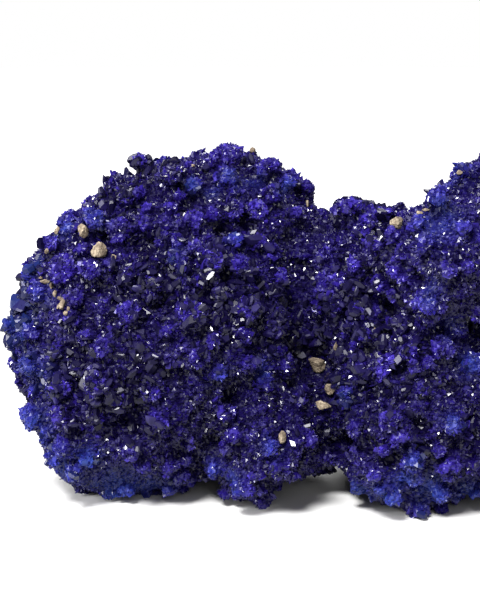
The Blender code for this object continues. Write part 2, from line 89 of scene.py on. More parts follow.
# Each lobe is a rounded swelling of the mass: its middle, then its half sizes
LOBES = {
    "left_mass": ((-23.1, 4.0, 26.6), (26.7, 22.5, 26.6)),
    "left_foot": ((-28.6, 3.2, 18.6), (18.2, 20.0, 20.4)),
    "left_heel": ((-34.2, 0.5, 10.0), (8.4, 13.5, 9.8)),
    "left_shoulder": ((-28.8, 7.0, 46.0), (7.7, 14.0, 7.8)),
    "rear_ridge": ((-15.0, 9.0, 36.4), (22.2, 17.0, 21.4)),
    "front_toe": ((-8.2, -2.5, 12.4), (8.8, 15.0, 13.0)),
    "toe_knuckle": ((-1.5, -9.0, 11.0), (5.3, 9.0, 5.6)),
    "cleft_floor": ((0.7, 3.0, 12.6), (8.0, 16.0, 10.6)),
    "saddle": ((10.7, 6.0, 31.6), (15.8, 19.0, 17.5)),
    "right_foot": ((18.4, -7.0, 18.4), (16.2, 15.0, 20.0)),
    "right_end": ((34.0, -1.2, 17.2), (14.2, 20.4, 17.8)),
    "right_mass": ((33.5, 4.0, 39.8), (14.5, 20.0, 16.3)),
    "right_waist": ((36.0, 1.0, 28.0), (12.0, 18.5, 13.0)),
    "right_brow": ((23.2, -13.0, 41.9), (10.3, 13.0, 10.0)),
    "right_crest": ((25.8, 10.0, 44.0), (3.8, 10.0, 7.8)),
    "rear_left_foot": ((-25.0, 12.0, 13.5), (14.0, 13.5, 15.0)),
    "rear_right_foot": ((22.0, 12.0, 14.5), (15.0, 13.5, 16.0)),
}

# How softly the lobes run together, and the mounds and knobs with them, how far the skin lies inside
# them, and how fast it falls off beside one
LOBE_BLEND = 1.1
BALL_BLEND = 0.5 * LOBE_BLEND
SKIN_INSET = 1.1
FALL_OFF = 1.6

# Uneven ground on the lobes: the length and height of its two sets of waves, how many waves there
# are in a set, and how far their lengths spread
GROUND_WAVES = ((17.0, 0.45), (7.0, 0.28))
WAVE_COUNT = 12
WAVE_SPREAD = (0.7, 1.4)

# Knobs that stand out of the outline in the front view: their place there, and their radius
KNOBS = (
    (-26.7, 54.9, 1.8), (-21.6, 52.7, 3.2), (-4.0, 52.0, 3.1), (0.2, 50.2, 2.3), (22.9, 48.3, 2.5),
    (8.4, 46.6, 2.5), (16.5, 47.8, 1.6), (27.8, 53.0, 2.3), (-41.8, 41.2, 2.1), (-35.4, 44.9, 2.5),
)

# Beads that the front view shows: distance right of the middle, height in the view, and radius
FRONT_BEADS = (
    (-26.7, 56.2, 1.5), (-21.4, 53.7, 2.2), (-12.7, 56.3, 3.4), (-5.7, 54.9, 2.4), (-2.0, 52.9, 1.8),
    (1.0, 51.3, 1.5), (-5.0, 50.3, 1.8), (-20.2, 49.7, 1.4), (-11.3, 47.7, 1.8), (-14.5, 47.0, 1.4),
    (-7.5, 47.6, 1.9), (-11.2, 43.0, 1.9), (-23.4, 42.8, 1.5), (-17.7, 41.4, 1.5), (-4.8, 40.6, 1.6),
    (0.0, 40.4, 1.4), (3.5, 40.2, 1.6), (-34.9, 46.0, 2.3), (-38.8, 44.8, 1.8), (-42.0, 42.0, 1.6),
    (-30.6, 44.3, 2.5), (-36.5, 41.4, 1.2), (-39.8, 37.8, 2.7), (-35.2, 37.9, 2.1), (-32.3, 38.6, 1.5),
    (-46.0, 37.3, 1.6), (-37.7, 32.9, 1.8), (-25.3, 34.5, 2.0), (-29.3, 49.5, 1.4), (-25.9, 48.0, 1.3),
    (-14.3, 36.3, 1.3), (-17.0, 36.0, 1.3), (3.2, 35.1, 2.2), (5.6, 35.0, 2.3), (8.8, 34.5, 1.7),
    (5.6, 32.0, 2.0), (2.2, 31.2, 1.5), (7.5, 32.6, 1.6), (-4.0, 33.5, 1.6), (8.4, 48.4, 2.0),
    (10.9, 45.5, 1.9), (10.0, 43.6, 1.9), (9.0, 38.5, 1.8), (15.2, 38.0, 1.9), (13.2, 41.6, 1.5),
    (16.3, 40.7, 1.5), (15.2, 43.7, 1.7), (12.8, 35.1, 1.8), (9.8, 30.7, 1.8), (12.1, 30.7, 1.6),
    (7.8, 28.3, 1.6), (10.5, 26.7, 1.2), (7.8, 25.0, 1.7), (24.3, 37.7, 1.9), (22.8, 50.2, 2.0),
    (6.9, 16.4, 2.3), (8.5, 11.3, 1.8), (16.3, 9.7, 1.7), (13.6, 7.3, 1.3), (18.6, 5.7, 2.1),
    (25.3, 12.0, 1.8), (28.5, 22.0, 2.2), (12.3, 3.4, 1.3), (13.2, 20.5, 1.5), (1.8, 9.6, 1.9),
    (-5.0, 8.0, 1.5), (-15.0, 4.5, 2.1), (-17.0, 23.0, 1.8), (-8.6, 21.8, 1.8), (-13.7, 20.6, 1.6),
    (-3.9, 24.4, 1.5), (-45.6, 21.5, 2.0), (-45.0, 27.0, 1.7), (-40.0, 12.8, 2.8), (-35.8, 5.9, 1.3),
    (-30.5, 16.0, 2.0), (-23.5, 13.0, 1.8), (-33.0, 24.5, 2.0), (21.5, 31.8, 3.2), (30.5, 31.0, 2.6),
)

# Pits that the front view shows: place as above, then radius and depth
FRONT_PITS = (
    (-26.2, 42.4, 1.7, 2.4), (-32.0, 46.8, 1.0, 1.4), (-22.9, 37.2, 1.8, 2.4), (-31.0, 32.7, 1.3, 1.8),
    (-17.0, 39.4, 1.2, 1.8), (-12.1, 37.2, 1.6, 2.4), (-0.8, 43.4, 1.6, 2.2), (-8.2, 39.6, 1.1, 1.5),
    (26.0, 49.8, 1.0, 2.0), (7.1, 40.4, 1.6, 2.4), (10.7, 36.2, 1.1, 2.0), (18.6, 36.0, 1.2, 2.0),
    (14.3, 31.7, 1.3, 2.4), (14.2, 28.0, 1.3, 2.4), (-22.6, 19.5, 1.6, 2.4), (-19.8, 19.3, 1.1, 1.8),
    (10.5, 24.1, 1.3, 2.4), (16.1, 21.2, 1.4, 1.8), (20.0, 11.5, 1.1, 2.2), (20.6, 7.5, 1.1, 2.0),
    (10.5, 7.8, 1.8, 2.0), (-37.6, 18.0, 1.3, 1.8), (-39.3, 36.8, 1.1, 1.6), (21.8, 46.8, 1.0, 1.6),
)

# The cleft between the two halves runs down the front through these places, each with its depth.
# Each step from one to the next has a few overlapping pits
CLEFT = (
    (-1.5, 42.5, 1.0), (0.0, 37.0, 1.6), (0.5, 29.0, 2.6), (1.2, 24.0, 4.2), (3.8, 18.0, 5.0),
    (4.9, 13.0, 5.6), (5.3, 8.5, 6.0), (5.8, 4.0, 6.0),
)
CLEFT_WIDTH = 2.3
CLEFT_DEEPEST = 6.0
PITS_PER_STEP = 4

# Mounds, beads and pits that cover the rest of the mass. On the rim, where the front view sees the
# skin edge on, mounds are sunk further and beads are smaller
MOUND_COUNT = 90
MOUND_RADIUS = (3.6, 6.4)
MOUND_SUNK = 0.78
RIM_MOUND_SUNK = 0.9
BEAD_COUNT = 900
BEAD_RADIUS = (1.3, 2.9)
BEADS_APART = 0.72
BEAD_RISE = 0.75
RIM_BEAD_SHARE = 0.6
RIM_SLOPE = 0.35
PIT_COUNT = 80
PIT_RADIUS = (1.1, 2.2)
PIT_DEPTH = (1.0, 2.4)
PIT_CLEAR = 0.4

# The rays that sample the skin, the step that measures its slope, what keeps the second direction
# off the first, and how close together two points lie that the front view shows at one place
RAY_COUNT = 24000
GOLDEN_ANGLE = math.pi * (3.0 - math.sqrt(5.0))
SLOPE_STEP = 0.004
TURNED_OFF = 0.1
SAME_PLACE = 0.5

# The grid of two angles that the skin is drawn on, the spacing of its net, and the passes that
# smooth it
GRID_ROWS = 360
GRID_COLUMNS = 480
SKIN_NET = 0.6
SMOOTHING_PASSES = 2

# The lowest height of the crust, and the share of what would lie under it that is folded up
FOOT_PLANE = 0.05
FOOT_FOLD = 0.15

# The front view doesn't show a point that faces away from it by more than this, and seeded spots
# and crumbs stay above this height there
HIDDEN_FACING = -0.1
HIDDEN_HEIGHT = 4.0

# Small knobs over the whole crust: the lattice cell that holds one, after how many cells the
# lattice repeats, where in its cell a knob's middle lies, its reach in cells, its rise, and by what
# share blocky crystals and azure spots lower it
KNOB_CELL = 1.75
KNOB_REPEAT = 32
KNOB_MIDDLE = (0.15, 0.85)
KNOB_REACH = 0.7
KNOB_RISE = 0.7
KNOB_BLOCKY = 0.6
KNOB_AZURE = 0.5

# The grooves between the knobs and the gaps between the beads: where each starts, how wide it is
# and how dark it is painted, as painted shade. The gaps are sunk too, less so on the rim
GROOVE_START = 0.42
GROOVE_WIDTH = 0.3
GROOVE_DARK = 0.85
GAP_START = 0.42
GAP_WIDTH = 0.5
GAP_DARK = 0.6
GAP_SUNK = 0.7
RIM_RELIEF = 0.25

# The painted shade of the hollows: the passes that smooth the net that they lie under, the depth
# at which the painted shade starts and over which it deepens, how far azure spots clear it, the
# width of the cleft's painted shade in cleft widths, and how bare of crystals the cleft is
PAINTED_SHADE_PASSES = 50
PAINTED_SHADE_START = -0.15
PAINTED_SHADE_DEPTH = 0.85
AZURE_CLEAR = 0.6
CLEFT_SHADE = 1.9
CLEFT_BARE = 0.85

# The fine druse: its pieces from left to right, how far its foot is let into the crust, and in
# spacings of its net how far its points and its tips are moved about. Azure spots make it finer.
# The power makes most of its crystals dark, and the darkest take this share of an azure spot
DRUSE_PIECES = (
    "azurite_druse_left_end", "azurite_druse_left", "azurite_druse_right", "azurite_druse_right_end",
)
DRUSE_INSET = 0.4
DRUSE_JITTER = 0.3
TIP_ASIDE = 0.3
AZURE_FINER = 0.75
TINT_POWER = 1.5
AZURE_LEAST = 0.3

# Crystals: the sides of each, and its rings from the foot up, each with its two widths, its
# height and how far it lies off the middle
WEDGE = (4, ((1.0, 1.0, -0.5, 0.0), (0.8, 0.3, 1.0, 0.1)))
POINT = (5, ((1.0, 1.0, -0.5, 0.0), (0.95, 0.95, 0.25, 0.0), (0.15, 0.15, 0.9, 0.25)))
RIDGED = (4, ((1.0, 1.0, -0.5, 0.0), (1.0, 1.0, 0.4, 0.0), (0.55, 0.06, 1.0, 0.15)))
TABULAR = (6, ((1.0, 0.8, -0.5, 0.0), (1.05, 0.8, 0.7, 0.0), (0.75, 0.5, 1.0, 0.0)))

# The pieces that they make, and how each kind is spread: its chance away from the blocky zones, and
# how far it leans
SMALL_CRYSTALS = {"azurite_crystals_wedges": WEDGE, "azurite_crystals_points": POINT}
BLOCKS = {"azurite_blocks_ridged": RIDGED, "azurite_blocks_tabular": TABULAR}
SMALL_CRYSTAL_BASE = 0.35
SMALL_CRYSTAL_LEAN = 0.5
BLOCK_BASE = 0.004
BLOCK_LEAN = 0.4

# Their half width, half depth and height as shares of their size, how far their walls and their
# ends are slanted, and the share of an azure spot and of the crust's painted shade that they take
CRYSTAL_WIDE = (0.8, 1.4)
CRYSTAL_DEEP = (0.5, 1.0)
CRYSTAL_TALL = (0.3, 0.68)
WALL_SLANT = 0.22
END_SLANT = 0.28
CRYSTAL_AZURE = (0.2, 0.8)
CRYSTAL_PAINTED_SHADE = 0.8

# The margin of a crystal's cell in the map, and how far the map's rings narrow
CELL_MARGIN = 0.08
RING_NARROWING = 0.4

# How rough the faces are, from the darkest to the lightest crystals of each kind
DRUSE_ROUGHNESS = (0.12, 0.5)
CRYSTAL_ROUGHNESS = (0.08, 0.24)
BLOCK_ROUGHNESS = (0.14, 0.36)

# Cloudy blotches in the azurite: their size in metres, the noise that they span, and the share of
# the lighter colour at its two ends
CLOUD_SIZE = 0.0035
CLOUD_NOISE = (0.4, 0.6)
CLOUD_SHARE = (0.15, 1.0)

# The host rock's finish: its grains and blotches by size in metres and by the noise that they span,
# the grains' detail, and its bump
ROCK_ROUGHNESS = 0.85
ROCK_GLOSS = 0.25
SAND_SIZE = 0.0004
SAND_DETAIL = 3.0
SAND_NOISE = (0.38, 0.62)
BLOTCH_SIZE = 0.0014
BLOTCH_NOISE = (0.42, 0.6)
BUMP_STRENGTH = 0.7
BUMP_HEIGHT = 0.00012

# How the grains of host rock are broken and worn, how much wider they are than their solids' boxes,
# how far they stand out of their pockets, the length and height of the waves that make them
# gritty, and how finely they are made
GRAIN_FLATS = 11
FLAT_REACH = (0.55, 0.95)
EDGE_POWER = 18
CORNER_WEAR = 0.01
GRAIN_SCALE = 1.1
GRAIN_STEP = 0.2
GRAIN_WAVES = ((0.7, 0.025), (0.3, 0.02))
GRAIN_COLUMNS = 56
CRUMB_COLUMNS = 20

# The floor in metres: the radii of its first and last rings, how many rings and sides it has, and
# how far from the middle it starts to run out into white, and ends
FLOOR_RADII = (0.05, 6.0)
FLOOR_RINGS = 14
FLOOR_SIDES = 48
FLOOR_FADE = (0.12, 0.42)
FLOOR_ROUGHNESS = 0.6
FLOOR_GLOSS = 0.2

# The camera: its lens and sensor in millimetres, and where its view starts in metres
CAMERA_LENS = 85.0
SENSOR_WIDTH = 36.0
CLIP_START = 0.01

# The soft boxes: the setting that holds the power of each, its place and its size in metres
LIGHT_BOXES = {
    "key_box": ("key_light", (-0.18, -0.50, 0.60), (0.22, 0.18)),
    "left_box": ("left_light", (-0.60, -0.22, 0.30), (0.30, 0.40)),
    "right_box": ("right_light", (0.62, -0.10, 0.40), (0.30, 0.40)),
    "front_box": ("front_light", (0.10, -0.72, 0.34), (0.34, 0.28)),
    "back_box": ("back_light", (0.15, 0.48, 0.60), (0.40, 0.30)),
}

# The solids whose boxes the grains of host rock fill
GRAINS = (
    "host_rock_grain_upper_left", "host_rock_grain_oval", "host_rock_grain_cleft_top",
    "host_rock_grain_cleft_middle", "host_rock_grain_cleft_low", "host_rock_grain_toe",
    "host_rock_grain_saddle",
)

# Crumbs of host rock too small for a pocket of their own: place, width, height and thickness
CRUMBS = (
    (-40.7, 44.2, 1.0, 1.3, 0.8), (-42.5, 40.8, 0.8, 1.0, 0.7), (-31.3, 39.7, 0.9, 1.0, 0.7),
    (-42.7, 35.7, 1.7, 0.6, 0.7), (-41.6, 34.9, 1.0, 1.2, 0.7), (-41.0, 33.8, 0.7, 1.3, 0.7),
    (-40.2, 32.9, 1.5, 0.7, 0.7), (-39.7, 31.9, 1.1, 2.2, 0.9), (-39.2, 30.5, 1.0, 1.0, 0.7),
    (-40.4, 31.6, 0.7, 1.0, 0.6), (-43.4, 36.3, 0.8, 0.5, 0.5), (-38.8, 31.2, 0.6, 0.9, 0.5),
    (5.7, 24.8, 0.8, 1.7, 0.8), (26.3, 53.8, 1.3, 0.8, 0.7), (12.2, 27.8, 0.5, 0.7, 0.5),
    (-18.0, 55.0, 0.7, 0.7, 0.6), (1.0, 48.8, 0.5, 1.5, 0.6), (19.6, 47.1, 1.3, 0.6, 0.6),
    (20.8, 47.7, 1.2, 0.5, 0.6),
)

# Seeded crumbs on the sides that the front view doesn't show: how many, their width, and their
# height and thickness as shares of it
BACK_CRUMB_COUNT = 26
BACK_CRUMB_SIZE = (0.6, 1.9)
BACK_CRUMB_TALL = (0.6, 1.0)
BACK_CRUMB_THICK = 0.7

# Azure spots of the front view: place, radius and strength
AZURE_SPOTS = (
    (-34.8, 47.8, 2.6, 0.6), (-39.3, 45.0, 2.4, 0.5), (-43.8, 33.3, 2.4, 0.4), (-46.0, 20.3, 2.6, 0.4),
    (-35.5, 5.5, 2.6, 0.9), (-9.8, 52.7, 2.2, 0.5), (-11.7, 53.5, 1.8, 0.5), (-7.7, 52.5, 1.8, 0.5),
    (-2.3, 51.5, 1.6, 0.8), (-18.0, 52.2, 1.3, 0.8), (-15.0, 51.3, 1.6, 0.5), (-11.3, 43.7, 1.9, 0.6),
    (-21.0, 39.8, 1.8, 0.4), (-6.0, 21.0, 1.7, 0.6), (-13.0, 19.7, 1.8, 0.5), (-15.0, 4.0, 2.4, 0.5),
    (-5.0, 8.0, 2.2, 0.5), (22.8, 46.3, 4.2, 0.55), (21.0, 34.0, 2.6, 0.4), (24.8, 28.2, 2.4, 0.4),
    (28.5, 22.2, 2.3, 0.75), (21.5, 0.5, 3.4, 0.9), (17.2, 1.8, 2.6, 0.8), (18.7, 5.7, 2.1, 0.55),
    (25.3, 12.2, 1.9, 0.5), (6.8, 16.3, 1.8, 0.4), (-31.0, 0.6, 6.0, 0.9), (-26.0, 0.6, 5.0, 0.8),
    (9.5, 0.0, 3.2, 0.9), (13.5, -1.5, 3.5, 0.9), (28.0, 0.0, 3.0, 0.8), (-47.5, 29.0, 4.5, 0.6),
    (-46.5, 20.0, 4.5, 0.6), (-45.0, 11.0, 4.5, 0.6), (-40.5, 3.5, 5.0, 0.8),
)

# Stretches of dark blocky crystals in the front view: place, radius and share covered
BLOCKY_ZONES = (
    (-24.0, 36.0, 7.0, 0.8), (-14.0, 33.5, 8.0, 0.9), (-4.0, 31.0, 7.5, 1.0), (2.5, 25.5, 6.0, 1.0),
    (8.0, 31.5, 6.5, 0.8), (-39.0, 20.0, 6.5, 0.8), (-32.0, 15.0, 6.5, 0.9), (-27.0, 22.0, 6.0, 0.7),
    (14.5, 28.0, 5.0, 0.8), (17.5, 20.0, 6.0, 0.5), (5.0, 21.0, 4.5, 1.0), (11.0, 43.0, 5.0, 0.5),
    (20.3, 9.0, 3.5, 0.4), (-8.5, 41.0, 5.0, 0.5), (-24.0, 5.0, 6.0, 0.2), (30.0, 12.0, 6.0, 0.3),
    (-27.5, 53.5, 5.0, 0.8), (-32.5, 50.5, 4.5, 0.8), (-20.0, 54.0, 4.0, 0.6),
)

# Seeded azure spots and blocky stretches on the sides that the front view doesn't show: how many,
# their radius and their strength
BACK_SPOTS = (60, (1.6, 4.4), (0.3, 0.8))
BACK_ZONES = (20, (5.0, 9.0), (0.6, 1.0))


def settings():
    return bpy.context.scene.azurite


def druse_spacing():
    """The width of one fine crystal in millimetres, which is the spacing of the crust's net."""
    return settings().druse_size / MM


def seeded(use, number=0):
    return np.random.default_rng(SEED + SEED_STEPS[use] + number)


# Meshes


def make_mesh(name, points, faces):
    """A mesh from whole arrays: points in millimetres, and faces of one number of corners each."""
    placed = (points - FINISHED_MIDDLE) * MM
    mesh = bpy.data.meshes.new(name)
    mesh.vertices.add(len(placed))
    mesh.vertices.foreach_set("co", placed.astype(np.float32).ravel())
    mesh.loops.add(faces.size)
    mesh.loops.foreach_set("vertex_index", faces.astype(np.int32).ravel())
    mesh.polygons.add(len(faces))
    starts = np.arange(0, faces.size, faces.shape[1], dtype=np.int32)
    mesh.polygons.foreach_set("loop_start", starts)
    mesh.update(calc_edges=True)
    mesh.shade_flat()
    return mesh


def add_values(mesh, name, values):
    """A number for each face, which the material reads by name."""
    attribute = mesh.attributes.new(name, "FLOAT", "FACE")
    attribute.data.foreach_set("value", values.astype(np.float32))


def add_map(mesh, corners):
    """The piece's own map, with a pair of numbers for each corner of each face."""
    layer = mesh.uv_layers.new(name="OFBake")
    layer.data.foreach_set("uv", corners.astype(np.float32).ravel())


def put(name, data):
    """A new object in the scene, which holds the given mesh, camera or light."""
    made = bpy.data.objects.new(name, data)
    bpy.context.scene.collection.objects.link(made)
    return made


def add_piece(name, mesh, material, nodes=()):
    """Puts a finished mesh into the scene, on the mass, in place of the named nodes."""
    mesh.materials.append(material)
    piece = put(name, mesh)
    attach(piece, "root")
    if nodes:
        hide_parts(*nodes)


def read_mesh(mesh):
    """The points and the four-cornered faces of a mesh as arrays."""
    points = np.empty(len(mesh.vertices) * 3, np.float32)
    mesh.vertices.foreach_get("co", points)
    corners = np.empty(len(mesh.loops), np.int32)
    mesh.loops.foreach_get("vertex_index", corners)
    return points.reshape(-1, 3).astype(float), corners.reshape(-1, 4)


def even_net(points, faces, spacing):
    """The same surface on an even net of four-cornered faces, with its folds taken out."""
    mesh = bpy.data.meshes.new("surface")
    mesh.from_pydata(points, [], faces)
    surface = put("surface", mesh)
    remesh = surface.modifiers.new("net", "REMESH")
    remesh.mode = "VOXEL"
    remesh.voxel_size = spacing
    evaluated = surface.evaluated_get(bpy.context.evaluated_depsgraph_get())
    result = read_mesh(evaluated.to_mesh())
    evaluated.to_mesh_clear()
    bpy.data.objects.remove(surface, do_unlink=True)
    bpy.data.meshes.remove(mesh)
    return result


def smoothed(points, faces, passes):
    """Each pass moves every point half way to the mean of its neighbours along the net's edges."""
    start = faces.ravel()
    end = np.roll(faces, -1, axis=1).ravel()
    count = np.bincount(start, minlength=len(points)) + np.bincount(end, minlength=len(points))
    for _ in range(passes):
        total = np.empty_like(points)
        for axis in range(3):
            forward = np.bincount(start, weights=points[end, axis], minlength=len(points))
            backward = np.bincount(end, weights=points[start, axis], minlength=len(points))
            total[:, axis] = forward + backward
        points = 0.5 * points + 0.5 * total / count[:, None]
    return points


def unit(vectors):
    """The vectors made one long."""
    return vectors / np.maximum(np.linalg.norm(vectors, axis=-1), LEAST_LENGTH)[..., None]


def point_normals(points, faces):
    """The sum of the normals of the faces round each point, each the cross product of the face's
    two diagonals, made one long."""
    corners = points[faces]
    across = np.cross(corners[:, 2] - corners[:, 0], corners[:, 3] - corners[:, 1])
    normals = np.empty_like(points)
    for axis in range(3):
        weights = np.repeat(across[:, axis], 4)
        normals[:, axis] = np.bincount(faces.ravel(), weights=weights, minlength=len(points))
    return unit(normals)


# The rays and the skin that they end on


def ray_starts(directions):
    """Each ray leaves the level axis at a place that follows its own lean along X."""
    starts = np.zeros_like(directions)
    starts[:, 0] = AXIS_HALF * directions[:, 0]
    starts[:, 2] = AXIS_HEIGHT
    return starts


def exit_distance(starts, directions, centre, half_sizes):
    """How far each ray runs before it leaves an ellipsoid: the larger root of the quadratic that
    puts start plus distance times direction on the ellipsoid. A ray that misses falls off behind
    the ellipsoid's rim, faster the wider it misses."""
    start = (starts - np.asarray(centre)) / half_sizes
    step = directions / half_sizes
    a = (step * step).sum(axis=1)
    b = (start * step).sum(axis=1)
    c = (start * start).sum(axis=1) - 1.0
    under_root = b * b - a * c
    root = np.sqrt(np.abs(under_root))
    return np.where(under_root > 0.0, root - b, -FALL_OFF * root - b) / a


def smooth_max(distances, blend):
    """The largest of several distances, rounded where two are close: blend times the logarithm
    of the sum of exp(distance / blend)."""
    stack = np.array(distances)
    top = stack.max(axis=0)
    return top + blend * np.log(np.exp((stack - top) / blend).sum(axis=0))


def ripple(points, rng, length, height):
    """Uneven ground: a sum of sine waves of about one length, in seeded directions. Divided by the
    root of half their number, it swings by about its height."""
    waves = unit(rng.normal(size=(WAVE_COUNT, 3)))
    waves *= 2.0 * math.pi / (length * rng.uniform(*WAVE_SPREAD, size=(WAVE_COUNT, 1)))
    phases = rng.uniform(0.0, 2.0 * math.pi, size=WAVE_COUNT)
    return height * np.sin(points @ waves.T + phases).sum(axis=1) / math.sqrt(WAVE_COUNT / 2.0)


def spiral_directions(count):
    """Directions spread evenly over a sphere: heights in equal steps, each turned on from the
    last by the golden angle."""
    steps = np.arange(count) + 0.5
    height = 1.0 - 2.0 * steps / count
    around = GOLDEN_ANGLE * steps
    radius = np.sqrt(1.0 - height * height)
    directions = np.stack([radius * np.cos(around), radius * np.sin(around), height], axis=1)
    return unit(directions)


def seen_at(points):
    """Where the front view shows each point: right of the middle of the mass, and up from its
    foot, both measured at the distance of the view's target."""
    up = np.array([0.0, math.sin(VIEW_TILT), math.cos(VIEW_TILT)])
    away = -TOWARDS_VIEWER
    offset = points - VIEW_TARGET
    scale = VIEW_DISTANCE / (VIEW_DISTANCE + offset @ away)
    right = offset[:, 0] * scale + VIEW_TARGET[0]
    height = (offset @ up) * scale + VIEW_TARGET[2] * math.cos(VIEW_TILT)
    return np.stack([right, height], axis=1)


def lobe_skin(directions):
    """Where each ray leaves the lobes' common skin, with its ground made uneven."""
    starts = ray_starts(directions)
    parts = [exit_distance(starts, directions, *lobe) for lobe in LOBES.values()]
    distance = smooth_max(parts, LOBE_BLEND)
    points = starts + directions * distance[:, None]
    rng = seeded("ground")
    uneven = sum(ripple(points, rng, *waves) for waves in GROUND_WAVES)
    return starts, distance + uneven - SKIN_INSET


class FrontView:
    """The side of a surface that the front view shows, to place things where it shows them."""

    def __init__(self, points, normals):
        facing = np.nonzero(normals @ TOWARDS_VIEWER > 0.0)[0]
        self.points = points[facing]
        self.normals = normals[facing]
        self.nearness = self.points @ TOWARDS_VIEWER
        self.seen = seen_at(self.points)

    def place(self, right, height):
        """The point that the view shows at a place, and its normal: of the points that seem close
        to the place, the one nearest the viewer, moved level with the view onto the place."""
        miss = self.seen - np.array([right, height])
        apart = np.hypot(miss[:, 0], miss[:, 1])
        index = np.argmax(np.where(apart < apart.min() + SAME_PLACE, self.nearness, -np.inf))
        point = self.points[index].copy()
        point[0] -= miss[index, 0]
        point[2] -= miss[index, 1] / math.cos(VIEW_TILT)
        return point, self.normals[index]

    def placed(self, rows):
        """Rows that start with a place in the view, each with its point there instead."""
        return [(self.place(*row[:2])[0], *row[2:]) for row in rows]


class Skin:
    """The rounded mass without its small relief: lobes, with mounds grown on them."""

    def __init__(self):
        self.rays = spiral_directions(RAY_COUNT)
        self.balls = []
        self.refresh()
        self.balls = self.mounds()
        self.refresh()
        self.balls += self.front.placed(KNOBS)
        self.refresh()

    def refresh(self):
        """Samples the skin as it now is, with the area that each sample stands for."""
        self.points, self.normals, areas = self.surface(self.rays)
        self.chances = areas / areas.sum()
        self.front = FrontView(self.points, self.normals)

    def at(self, directions):
        starts, distance = lobe_skin(directions)
        balls = [exit_distance(starts, directions, *ball) for ball in self.balls]
        distance = smooth_max([distance, *balls], BALL_BLEND)
        return starts + directions * distance[:, None]

    def surface(self, directions):
        """The skin's points, its outward normals, which are square to the slopes towards two rays
        close by, and the area between those slopes."""
        points = self.at(directions)
        aside = unit(np.cross(directions, np.roll(directions, 1, axis=1) + TURNED_OFF))
        above = np.cross(directions, aside)
        slopes = []
        for step in (aside, above):
            slopes.append(self.at(unit(directions + SLOPE_STEP * step)) - points)
        normals = np.cross(*slopes)
        areas = np.linalg.norm(normals, axis=1)
        return points, normals / areas[:, None], areas

    def spread(self, count, rng):
        """Numbers of samples drawn evenly over the skin's area."""
        return rng.choice(len(self.points), size=count, replace=False, p=self.chances)

    def on_rim(self, index):
        """Whether a sample lies where the front view sees the skin edge on."""
        return abs(self.normals[index] @ TOWARDS_VIEWER) < RIM_SLOPE

    def mounds(self):
        rng = seeded("mounds")
        balls = []
        for index in self.spread(MOUND_COUNT, rng):
            radius = rng.uniform(*MOUND_RADIUS)
            sunk = RIM_MOUND_SUNK if self.on_rim(index) else MOUND_SUNK
            balls.append((self.points[index] - self.normals[index] * radius * sunk, radius))
        return balls


def cleft_pits(skin):
    """The cleft as a row of overlapping wells between its corner places."""
    pits = []
    for first, second in itertools.pairwise(CLEFT):
        for step in range(PITS_PER_STEP):
            share = step / PITS_PER_STEP
            right, height, depth = (a * (1.0 - share) + b * share for a, b in zip(first, second))
            pits.append((skin.front.place(right, height)[0], CLEFT_WIDTH, depth))
    return pits


def all_pits(skin):
    pits = skin.front.placed(FRONT_PITS) + cleft_pits(skin)
    rng = seeded("pits")
    for index in skin.spread(PIT_COUNT, rng):
        pits.append((skin.points[index], rng.uniform(*PIT_RADIUS), rng.uniform(*PIT_DEPTH)))
    return pits


def all_beads(skin, pits):
    """The named beads of the front, and seeded ones over the rest that leave the pits open."""
    beads = skin.front.placed(FRONT_BEADS)
    rng = seeded("beads")
    for index in skin.spread(BEAD_COUNT, rng):
        centre = skin.points[index]
        radius = BEAD_RADIUS[0] + (BEAD_RADIUS[1] - BEAD_RADIUS[0]) * rng.random() ** 2
        if skin.on_rim(index):
            radius *= RIM_BEAD_SHARE
        crowded = any(
            np.linalg.norm(centre - other) < BEADS_APART * (radius + reach) for other, reach in beads
        )
        in_pit = any(
            np.linalg.norm(centre - other) < width + PIT_CLEAR * radius for other, width, _ in pits
        )
        if not crowded and not in_pit:
            beads.append((centre, radius))
    return beads


def squared_share(points, centre, radius):
    """The squared distance of each point from a centre, as a share of the squared radius."""
    gap = points - centre
    return (gap * gap).sum(axis=1) / (radius * radius)


def spots_at(points, spots):
    """The strongest of several round spots at each point, each of which fades as a bell curve."""
    strongest = np.zeros(len(points))
    for centre, radius, strength in spots:
        fade = strength * np.exp(-squared_share(points, centre, radius))
        strongest = np.maximum(strongest, fade)
    return strongest


def relief(points, beads, pits):
    """How far the skin is moved out at each point: the highest bead over it, each a dome whose
    height is its rise times the root of one less the squared share of its radius, less the
    deepest pit, each a well that fades as a bell curve."""
    raised = np.zeros(len(points))
    for centre, radius in beads:
        under_root = np.maximum(1.0 - squared_share(points, centre, radius), 0.0)
        raised = np.maximum(raised, BEAD_RISE * radius * np.sqrt(under_root))
    return raised - spots_at(points, pits)


def ring_faces(rings, sides):
    """The numbers of the points on rings of one number of sides, and of those one further round,
    and the four-cornered faces between neighbouring rings."""
    index = np.arange(rings * sides).reshape(rings, sides)
    beside = np.roll(index, -1, axis=1)
    corners = np.stack([index[:-1], index[1:], beside[1:], beside[:-1]], axis=-1)
    return index, beside, corners.reshape(-1, 4)


